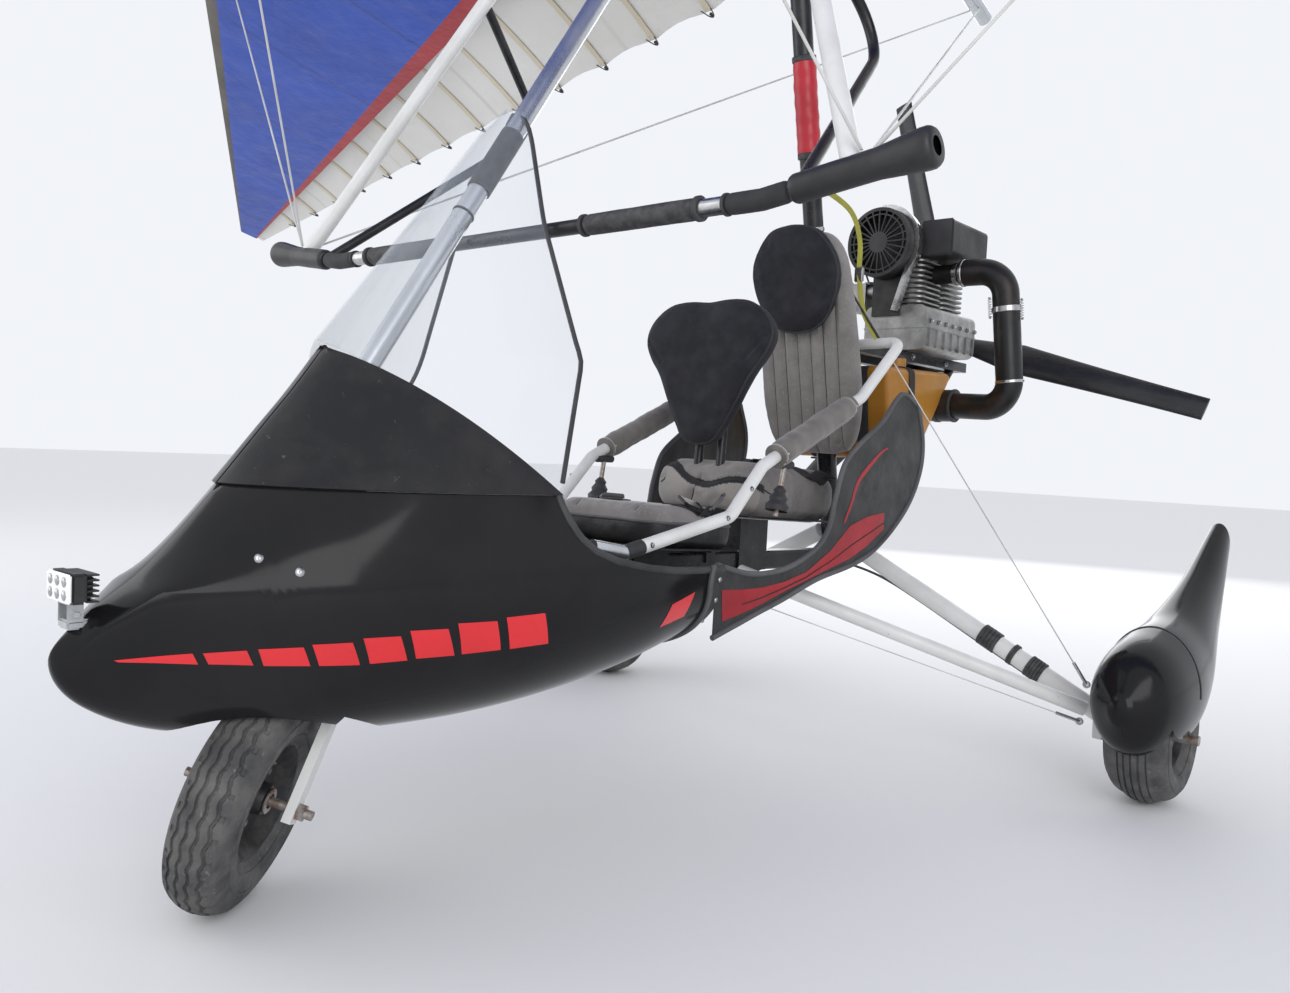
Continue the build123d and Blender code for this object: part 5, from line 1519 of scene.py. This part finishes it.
# nose lamp: pale face with its diodes, dark finned body, bracket and bolts
lampBodyLook = {
    "centre": (0, -1.400, 0.552), "wide": 0.084, "tall": 0.044, "fins": 6, "finPitch": 0.0076,
    "columns": (-0.025, 0, 0.025), "levels": (-0.0095, 0.0095),
    # radius and height of a diode's lens
    "diode": [(0.0078, -0.0005), (0.0078, 0.0006), (0.0066, 0.0006), (0.0058, 0.0016), (0.003, 0.0024), (0, 0.0026)],
    # places from the centre and sizes of the bracket's plate and foot
    "bracket": (((0, 0, -0.0235), (0.036, 0.022, 0.003), 0.001), ((0, 0.006, -0.054), (0.036, 0.034, 0.014), 0.003)),
}


def makeNoseLamp():
    look, (body, face, diodes, metal) = lampBodyLook, newBundles(4)
    wide, tall, fins = look["wide"], look["tall"], look["fins"]

    def at(x, y, z):
        return Vector(look["centre"]) + Vector((x, y, z))

    addBox(body, at(0, -0.004, 0), (wide, 0.022, tall), 0.004)
    addBox(body, at(0, 0.010, 0), (wide * 0.6, 0.022, tall * 0.8), 0.003)
    for k in range(fins):
        addBox(body, at(0, 0.015, (k - (fins - 1) / 2) * look["finPitch"]), (wide * 0.94, 0.017, 0.0028), 0.0007)
    addBox(face, at(0, -0.0162, 0), (wide * 0.97, 0.005, tall * 0.95), 0.0022)
    for x in look["columns"]:
        for z in look["levels"]:
            addLathe(diodes, at(x, -0.0187, z), (0, -1, 0), look["diode"], 18)
    for side in (-1, 1):
        addBox(metal, at(side * 0.0165, 0, -0.037), (0.003, 0.022, 0.030), 0.001)
        addBolt(metal, at(side * 0.018, 0, -0.039), (side, 0, 0), 0.0055)
    for place, size, bevel in look["bracket"]:
        addBox(metal, at(*place), size, bevel)
    addPieces("trike", ("lampBody", body, "ductBlack", "black_satin", "nose_lamp"),
              ("lampFace", face, "lampLens", "clear_screen"), ("lampDiodes", diodes, "brightSteel", "steel"),
              ("lampBracket", metal, "lampMetal", "silver_tube"))


makeNoseLamp()
print("nose lamp made")

# foam and grips on the control bar, each from its inner to its outer place on the bar
barLook = {
    "y": -0.229, "z": -1.604, "bend": 0.600, "slope": 0.1567, "radius": 0.0145,
    "foams": [
        ("CornerSleeve", 0.655, 0.889, 0.0236, "sleeveBlack", "corner_sleeves", "foam", 0.0005),
        ("BarGrip", 0.212, 0.469, 0.0190, "gripRubber", "bar_grips", "black_cloth", 0.0006),
        ("BarWrap", 0.534, 0.652, 0.0178, "belt", None, "black_cloth", 0.0004),
    ],
    "collars": [(0.474, 0.0215, 0.011), (0.206, 0.0205, 0.008), (0.531, 0.0190, 0.006)],
    "bright": (0.480, 0.530), "plug": 0.816,
    # the foam is thicker outside this place on the bar
    "swell": (0.800, 0.0074),
}


def barPlace(x):
    return wingPlace((x, barLook["y"], barLook["z"] + max(0.0, abs(x) - barLook["bend"]) * barLook["slope"]))


def makeBarFittings():
    look, (collars, bright) = barLook, newBundles(2)
    swellStart, swellBy = look["swell"]
    for side, sideName in ((-1, "starboard"), (1, "port")):
        for name, start, end, radius, paint, node, slotName, ripple in look["foams"]:
            count = max(16, round((end - start) / 0.004))
            path = [barPlace(side * x) for x in spread(start, end, count)]
            rows = tubeRows(path, radius, 32)
            for index, row in enumerate(rows):
                middle, edge = path[index], min(index, count - index) / count * (end - start)
                drop = 0.22 * radius * math.exp(-(edge / 0.004) ** 2)
                for spot, point in enumerate(row):
                    wave = noise.noise(point * 22) * ripple + math.sin(index * 1.9) * ripple * 0.12
                    wave += swellBy * clamp((abs(middle.x) - swellStart) / 0.07)
                    row[spot] = point + (point - middle).normalized() * (wave - drop)
            inner = [[path[end] + (point - path[end]).normalized() * look["radius"] for point in rows[end]]
                     for end in (0, -1)]
            piece = makeObject(sideName + name, rowBundle([inner[0]] + rows + [inner[1]], wrap=True), paint, sharp=60)
            fit(piece, "wing", [node] if node and side > 0 else ())
    for side in (-1, 1):
        for x, radius, width in look["collars"]:
            addCollar(collars, barPlace(side * x), (1, 0, 0), 0.013, radius, width)
        addTube(bright, straight(*(barPlace(side * x) for x in look["bright"]), 12), 0.0152, 28)
        addBolt(bright, barPlace(side * look["plug"]) + Vector((side * 0.0005, 0, 0)), (side, 0, 0.15), 0.008)
    addPieces("wing", ("barCollars", collars, "edgeRubber", "black_satin"),
              ("barBright", bright, "brightSteel", "silver_tube"))


makeBarFittings()
print("bar fittings made")

# webbing round the tank, with its filler cap and fuel hose
tankLook = {
    "loop": [(0.640, 1.050), (1.050, 1.062), (0.840, 0.800), (0.680, 0.790)],
    "corner": 0.024, "width": 0.034, "thickness": 0.0042, "places": (-0.080, 0.080),
    "rail": (0.815, 0.865, 1.056, 1.086),
    "buckle": (0.700, 0.786),
    # the cap's place, then its radii with their heights; every third point of the rim is drawn in
    "cap": (0.116, 0.775, 1.080),
    "capRows": [(0.0195, -0.004), (0.0203, 0.0), (0.0203, 0.009), (0.0180, 0.0115), (0.001, 0.0115)],
    "capNotch": 0.955,
    "sideStrap": [(0.100, 0.770, 1.0555), (0.140, 0.771, 1.0565), (0.161, 0.772, 1.0490), (0.1672, 0.774, 1.030),
                  (0.1672, 0.782, 0.940), (0.1672, 0.790, 0.822), (0.161, 0.792, 0.800), (0.140, 0.793, 0.7930),
                  (0.060, 0.793, 0.7925)],
    "hose": [(-0.120, 0.700, 1.046), (-0.125, 0.740, 1.110), (-0.118, 0.800, 1.200), (-0.112, 0.880, 1.262),
             (-0.112, 0.920, 1.275)],
}


def roundedLoop(corners, reach, steps):
    # a closed line through corners, each rounded within the given reach
    loop = []
    for index, corner in enumerate(corners):
        before, after = (corner + (other - corner).normalized() * reach
                         for other in (corners[index - 1], corners[(index + 1) % len(corners)]))
        for share in spread(0, 1, steps):
            loop.append(before * (1 - share) ** 2 + corner * (2 * share * (1 - share)) + after * share ** 2)
    return loop


def makeTankTrim():
    look, (webs, dark, hose) = tankLook, newBundles(3)
    loop = roundedLoop([Vector((0, y, z)) for y, z in look["loop"]], look["corner"], 6)
    front, rear, low, high = look["rail"]
    for x in look["places"]:
        addStrap(webs, [point + Vector((x, 0, 0)) for point in loop + loop[:2]], look["width"], look["thickness"],
                 (1, 0, 0))
        for y in (front, rear):
            addStrap(webs, dense([(x, y, low), (x, y, high)], 0.01), look["width"], 0.003, (1, 0, 0))
        addBox(dark, (x, *look["buckle"]), (look["width"] * 1.2, 0.030, 0.006), 0.0015)
    for side in (-1, 1):
        path = smoothPath([(side * x, y, z) for x, y, z in look["sideStrap"]], 8)
        addStrap(webs, path, 0.032, 0.0035, (0, 1, 0))
    capX, capY, capZ = look["cap"]
    addRows(dark, [[Vector((capX + math.cos(turn) * radius * (1.0 if k % 3 else look["capNotch"]),
                            capY + math.sin(turn) * radius * (1.0 if k % 3 else look["capNotch"]), capZ + rise))
                    for k, turn in enumerate(turns(72))] for radius, rise in look["capRows"]], wrap=True)
    addTube(hose, smoothPath(look["hose"], 8), 0.005, 12)
    addPieces("trike", ("tankWebs", webs, "belt", "black_cloth", "tank_straps"),
              ("tankCap", dark, "edgeRubber", "black_satin"), ("fuelHose", hose, "edgeRubber", "black_satin"))


makeTankTrim()
print("tank trim made")

# engine: bright edge of the belt cover, case seam and bolts, leads, clamps, springs and pleated filters
engineLook = {
    "fan": (0.040, 1.420), "coverY": 0.8135, "coverR": 0.1078, "turn": (96, -42), "tail": (0.0815, 1.2255),
    "strip": [(0.006, 0.7930), (-0.007, 0.7930), (-0.007, 0.7960), (0.006, 0.7960)],
    "screws": (0.10, 0.42, 0.72),
    "ductLid": ((0.181, 0.849, 1.436), (0.097, 0.008, 0.103)),
    "case": ((0.070, 1.000, 1.180), (0.205, 0.335)), "caseBolts": 7,
    "bores": (0.920, 1.070), "plugX": 0.070, "plugTop": 1.492, "coil": (-0.055, 0.880, 1.400),
    "plugCap": [(0.007, 0), (0.0095, 0.004), (0.0095, 0.020), (0.006, 0.028), (0.0001, 0.028)],
    "filter": (-0.230, -0.140, 1.305, 0.0402), "bowlX": -0.068,
    # place, axis, inner and outer radius, width
    "clamps": [((0.205, 0.942, 1.345), (1, 0, 0), 0.028, 0.0318, 0.014),
               ((0.226, 0.942, 1.345), (1, 0, 0), 0.028, 0.0400, 0.010),
               ((0.3545, 0.9565, 1.235), (0.084, 0.061, -0.994), 0.038, 0.0415, 0.016),
               ((0.3720, 0.9690, 1.030), (0.084, 0.061, -0.994), 0.038, 0.0405, 0.008),
               ((-0.100, 1.008, 0.962), (1, 0, 0), 0.048, 0.0505, 0.014),
               ((0.140, 1.008, 0.962), (1, 0, 0), 0.048, 0.0505, 0.014),
               ((-0.146, 1.008, 0.962), (1, 0, 0), 0.020, 0.0495, 0.006),
               ((0.192, 1.008, 0.962), (1, 0, 0), 0.038, 0.0500, 0.008)],
    "springs": [((0.322, 0.910, 1.262), (0.326, 0.914, 1.208)), ((0.396, 0.960, 1.262), (0.400, 0.964, 1.208)),
                ((0.340, 0.996, 1.262), (0.344, 1.000, 1.208))],
    "mountBolts": ((0.905, 1.130), 0.0965, 1.100),
}


def makeEngineTrim():
    look, (bright, dark, cast, leads, pleats) = engineLook, newBundles(5)
    (fanX, fanZ), coverY, reach = look["fan"], look["coverY"], look["coverR"]
    arc = [Vector((fanX + math.cos(a) * reach, coverY, fanZ + math.sin(a) * reach))
           for a in spread(*map(math.radians, look["turn"]), 40)]
    path = arc[:-1] + straight(arc[-1], Vector((look["tail"][0], coverY, look["tail"][1])), 8)
    addStrap(bright, path, 0.0335, 0.0018, (0, 1, 0))
    # its front edge, a flat bright strip that turns down to the crankshaft
    addRows(bright, [[point + along(path, index).cross(Vector((0, 1, 0))) * wide + Vector((0, y - coverY, 0))
                      for wide, y in look["strip"]] for index, point in enumerate(path)], wrap=True, caps=True)
    for share in look["screws"]:
        spot = path[round(share * (len(path) - 1))]
        out = (spot - Vector((fanX, coverY, fanZ))).normalized()
        addDome(dark, spot + out * 0.0006, out, 0.0045, 0.0026)
    (caseX, caseY, caseZ), (wide, long) = look["case"]
    addBox(cast, (caseX, caseY, caseZ), (wide, long, 0.008), 0.002)
    for y in spread(caseY - 0.44 * long, caseY + 0.44 * long, look["caseBolts"] - 1):
        for side in (-1, 1):
            edge = caseX + side * wide / 2
            addBox(cast, (edge - side * 0.001, y, caseZ - 0.030), (0.008, 0.006, 0.052), 0.0015)
            addBolt(bright, (edge + side * 0.0005, y + 0.011, caseZ + 0.020), (side, 0, 0), 0.0055)
    start, end, z, radius = look["filter"]
    bowlX = look["bowlX"]
    for y in look["bores"]:
        # lead from the plug to the coil, with its cap
        plug = Vector((look["plugX"], y, look["plugTop"]))
        addLathe(leads, plug - Vector((0, 0, 0.024)), (0, 0, 1), look["plugCap"], 16)
        coil = Vector(look["coil"]) + Vector((0.010, (y - look["bores"][0]) * 0.2, 0.016))
        addTube(leads, smoothPath([plug - Vector((0, 0, 0.002)), plug.lerp(coil, 0.3) + Vector((0, -0.01, 0.022)),
                                   plug.lerp(coil, 0.7) + Vector((0, -0.015, 0.010)), coil], 8), 0.0035, 10)
        # filter: pleats between two rubber ends, with a clamp on the intake
        pleat = [(turn, radius + (0.0016 if k % 2 else -0.0004)) for k, turn in enumerate(turns(96))]
        addRows(pleats, [[Vector((x, y + math.cos(turn) * r, z + math.sin(turn) * r)) for turn, r in pleat]
                         for x in (start + 0.010, end - 0.010)], wrap=True)
        for x in (start + 0.006, end - 0.006):
            addCollar(dark, (x, y, z), (1, 0, 0), 0.020, radius + 0.0030, 0.012)
        addCollar(dark, (start - 0.0005, y, z), (1, 0, 0), 0.0001, radius - 0.004, 0.003)
        addCollar(bright, (end + 0.014, y, z), (1, 0, 0), 0.018, 0.0222, 0.009)
        addCollar(bright, (-0.036, y, z), (1, 0, 0), 0.018, 0.0225, 0.010)
        addTube(leads, smoothPath([(bowlX, y - 0.010, z + 0.028), (-0.070, y - 0.04, z + 0.075),
                                   (-0.040, y - 0.08, z + 0.120), (0.000, 0.846, z + 0.125)], 8), 0.0028, 8)
        for side in (-1, 1):
            addBolt(bright, (bowlX + side * 0.015, y, z - 0.066), (0, 0, -1), 0.004)
        addCollar(cast, (bowlX, y, z + 0.024), (0, 0, 1), 0.0001, 0.019, 0.010)
        addCollar(cast, (bowlX, y, z - 0.068), (0, 0, 1), 0.0001, 0.021, 0.014)
    addBox(dark, look["coil"], (0.034, 0.060, 0.042), 0.004)
    addBox(dark, *look["ductLid"], 0.0035)
    addBox(cast, Vector(look["coil"]) + Vector((0.028, 0, -0.010)), (0.030, 0.030, 0.004), 0.001)
    for place, axis, inner, outer, width in look["clamps"]:
        addCollar(bright if outer < 0.045 else dark, place, axis, inner, outer, width, 36)
    for start, end in look["springs"]:
        addSpring(bright, start, end, 0.0042, 0.0010, 8)
        for spot in (start, end):
            addCollar(bright, spot, (1, 0, 0), 0.0001, 0.0034, 0.006, 12)
    places, x, z = look["mountBolts"]
    for y in places:
        for side in (-1, 1):
            addBolt(bright, (side * x, y, z), (side, 0, 0), 0.007)
    addPieces("trike", ("coverEdge", bright, "brightSteel", "steel"),
              ("engineRubber", dark, "edgeRubber", "black_satin"), ("caseTrim", cast, "castMetal", "engine_metal"),
              ("plugLeads", leads, "edgeRubber", "black_satin"), ("filterPleats", pleats, "ropeWhite", "black_cloth"))


makeEngineTrim()
print("engine trim made")

# bolts and valves on the rims: bolt offset from the web, circle, count and size; bearing seal and valve
rimLook = {"offset": 0.0068, "circle": 0.046, "count": 5, "bolt": 0.0055, "seal": (0.0355, 0.0125, 0.0215, 0.004),
           "valveTurn": 0.9, "valve": 0.0030}


def makeRimBolts():
    look = rimLook
    away, *seal = look["seal"]
    for name, tyre in tyreLook.items():
        bundle, (centre, axis, side, other) = newBundle(), wheelFrame(name)
        for turn in turns(look["count"]):
            place = centre + outward(side, other, turn) * look["circle"]
            for face in (-1, 1):
                addBolt(bundle, place + axis * (face * look["offset"]), axis * face, look["bolt"])
        out, reach = outward(side, other, look["valveTurn"]), tyre["valve"]
        addTube(bundle, dense([centre + out * reach + axis * 0.004, centre + out * (reach - 0.012) + axis * 0.030],
                              0.006), look["valve"], 10)
        for face in (1, -1):
            addCollar(bundle, centre + axis * (face * away), axis, *seal)
        addPieces(name + "_wheel", (name + "RimBolts", bundle, "plainSteel", "steel"))


makeRimBolts()
print("rim bolts made")

# wraps, clamps and wires of the airframe; places along a tube are shares of its length
frameLook = {
    "mast": ((0, 0.668, 0.530), (0, 0.264, 2.395)), "redWrap": (0.575, 0.695), "redRadius": 0.0312,
    "mastBands": (0.571, 0.699), "mastClamps": (0.34, 0.36, 0.47),
    "strut": ((0, -1.140, 0.574), (0, 0.048, 2.390)), "strutSleeve": (0.378, 0.446), "strutBand": 0.350,
    # start, end and number of ridges
    "leg": ((0.020, 0.638, 0.575), (0.775, 0.693, 0.188)),
    "legWraps": [(0.590, 0.650, 5), (0.695, 0.712, 2), (0.755, 0.805, 5)],
    # thin stays: upper and lower end, radius
    "stays": [((0.028, 0.500, 1.355), (0.742, 0.664, 0.262), 0.0017),
              ((0.024, 0.080, 0.452), (0.742, 0.630, 0.176), 0.0014)],
    "staySleeve": (0.27, 0.0032),
    "yellow": [(0.018, 0.462, 1.520), (0.060, 0.560, 1.470), (0.082, 0.585, 1.390), (0.100, 0.562, 1.290),
               (0.140, 0.530, 1.180), (0.185, 0.536, 1.104)],
    "brake": [(0.060, 0.600, 0.500), (0.200, 0.646, 0.455), (0.480, 0.666, 0.314), (0.730, 0.684, 0.186)],
}


def makeFrameTrim():
    look, (red, dark, wires, bright, yellow) = frameLook, newBundles(5)
    foot, top = map(Vector, look["mast"])
    path = [foot.lerp(top, share) for share in spread(*look["redWrap"], 40)]
    rows = tubeRows(path, look["redRadius"], 36)
    for index, row in enumerate(rows):
        row[:] = [point + (point - path[index]).normalized() * (noise.noise(point * 30) * 0.0012
                                                                + 0.0006 * math.sin(index * 0.9)) for point in row]
    addRows(red, rows, wrap=True, caps=True)
    for share in look["mastBands"]:
        addCollar(dark, foot.lerp(top, share), top - foot, 0.026, 0.0320, 0.016, 36)
    for share in look["mastClamps"]:
        addCollar(bright, foot.lerp(top, share), top - foot, 0.026, 0.0290, 0.011, 36)
    foot, top = map(Vector, look["strut"])
    first, last = look["strutSleeve"]
    addCollar(dark, foot.lerp(top, (first + last) / 2), top - foot, 0.019, 0.0235,
              (top - foot).length * (last - first), 36)
    addCollar(dark, foot.lerp(top, look["strutBand"]), top - foot, 0.019, 0.0218, 0.005, 36)
    for side in (-1, 1):
        flip = Vector((side, 1, 1))
        start, end = (Vector(point) * flip for point in look["leg"])
        axis = end - start
        for low, high, ridges in look["legWraps"]:
            for k in range(ridges):
                addCollar(dark, start.lerp(end, mix(low, high, (k + 0.5) / ridges)), axis, 0.0235, 0.0285,
                          axis.length * (high - low) / ridges * 0.98, 36)
        addTube(dark, smoothPath([Vector(point) * flip for point in look["brake"]], 10), 0.0035, 10)
        for *ends, thick in look["stays"]:
            upper, lower = (Vector(point) * flip for point in ends)
            down = (lower - upper).normalized()
            addTube(wires, dense([upper, lower], 0.05), thick, 8)
            addTube(bright, dense([lower - down * 0.060, lower], 0.01), 0.0042, 12)
            addCollar(bright, lower, (0, 1, 0), 0.0035, 0.0095, 0.005, 20)
            addTube(bright, dense([upper, upper + down * 0.030], 0.01), 0.0036, 12)
        upper, lower = (Vector(point) * flip for point in look["stays"][0][:2])
        reach, thick = look["staySleeve"]
        addTube(dark, dense([upper, upper.lerp(lower, reach)], 0.03), thick, 10)
    addStrap(yellow, smoothPath(look["yellow"], 8), 0.015, 0.0016, (0.5, 0.8, 0.1))
    addBox(bright, look["yellow"][3], (0.026, 0.012, 0.040), 0.003)
    fit(makeObject("mastRedWrap", red, "tapeRed", sharp=60), "trike")
    addPieces("trike", ("frameWraps", dark, "gripRubber", "black_satin"), ("thinStays", wires, "wireCoat", "wire"),
              ("frameClamps", bright, "brightSteel", "steel"), ("yellowStrap", yellow, "strapYellow", "black_cloth"))


makeFrameTrim()
print("frame trim made")

# propeller hub: clamp plate and bolts
hubLook = {"place": (0, 1.352, 1.200), "plate": (0.0145, 0.056, 0.006), "circle": 0.041, "bolts": 6}


def makeHubBolts():
    look, bundle, place = hubLook, newBundle(), Vector(hubLook["place"])
    addCollar(bundle, place, (0, 1, 0), *look["plate"], 48)
    for turn in turns(look["bolts"], 0.5):
        spot = place + Vector((math.cos(turn) * look["circle"], 0.003, math.sin(turn) * look["circle"]))
        addBolt(bundle, spot, (0, 1, 0), 0.0065)
    addPieces("propeller", ("hubPlate", bundle, "brightSteel", "steel"))


makeHubBolts()
print("propeller hub made")

# plain pale floor, soft studio light
stageLook = {"floorSize": 60, "floor": (0.80, 0.80, 0.80, 1), "rough": 0.85, "sky": (0.93, 0.95, 1.0, 1),
             "world": 0.95}


def makeStage():
    look = stageLook
    material = bpy.data.materials.new("paleFloor")
    material.use_nodes = True
    shader = material.node_tree.nodes["Principled BSDF"].inputs
    shader["Base Color"].default_value, shader["Roughness"].default_value = look["floor"], look["rough"]
    half = look["floorSize"] / 2
    mesh = bpy.data.meshes.new("floor")
    mesh.from_pydata([(-half, -half, 0), (half, -half, 0), (half, half, 0), (-half, half, 0)], [], [(0, 1, 2, 3)])
    mesh.materials.append(material)
    floor = bpy.data.objects.new("floor", mesh)
    scene.collection.objects.link(floor)
    world = bpy.data.worlds.new("studio")
    world.use_nodes = True
    scene.world = world
    background = world.node_tree.nodes["Background"].inputs
    background["Color"].default_value, background["Strength"].default_value = look["sky"], look["world"]
    scene.view_settings.view_transform = "Standard"


# lamps: place, aim, size and watts
lampLook = {
    "keySoft": ((5.5, -4.5, 3.2), (0, -0.2, 0.8), 4.5, 190),
    "fillSoft": ((-5.0, -4.0, 2.6), (0, 0, 0.8), 4.5, 90),
    "backSoft": ((-2.0, 6.0, 3.0), (0, 0, 1.2), 4.5, 110),
}


def makeLamps():
    for name, (place, aim, size, watts) in lampLook.items():
        data = bpy.data.lights.new(name, "AREA")
        data.size, data.energy = size, watts
        lamp = bpy.data.objects.new(name, data)
        scene.collection.objects.link(lamp)
        lamp.location = place
        lamp.rotation_mode = "QUATERNION"
        lamp.rotation_quaternion = (Vector(aim) - Vector(place)).to_track_quat("-Z", "Y")


makeStage()
makeLamps()
print("stage and lamps set")
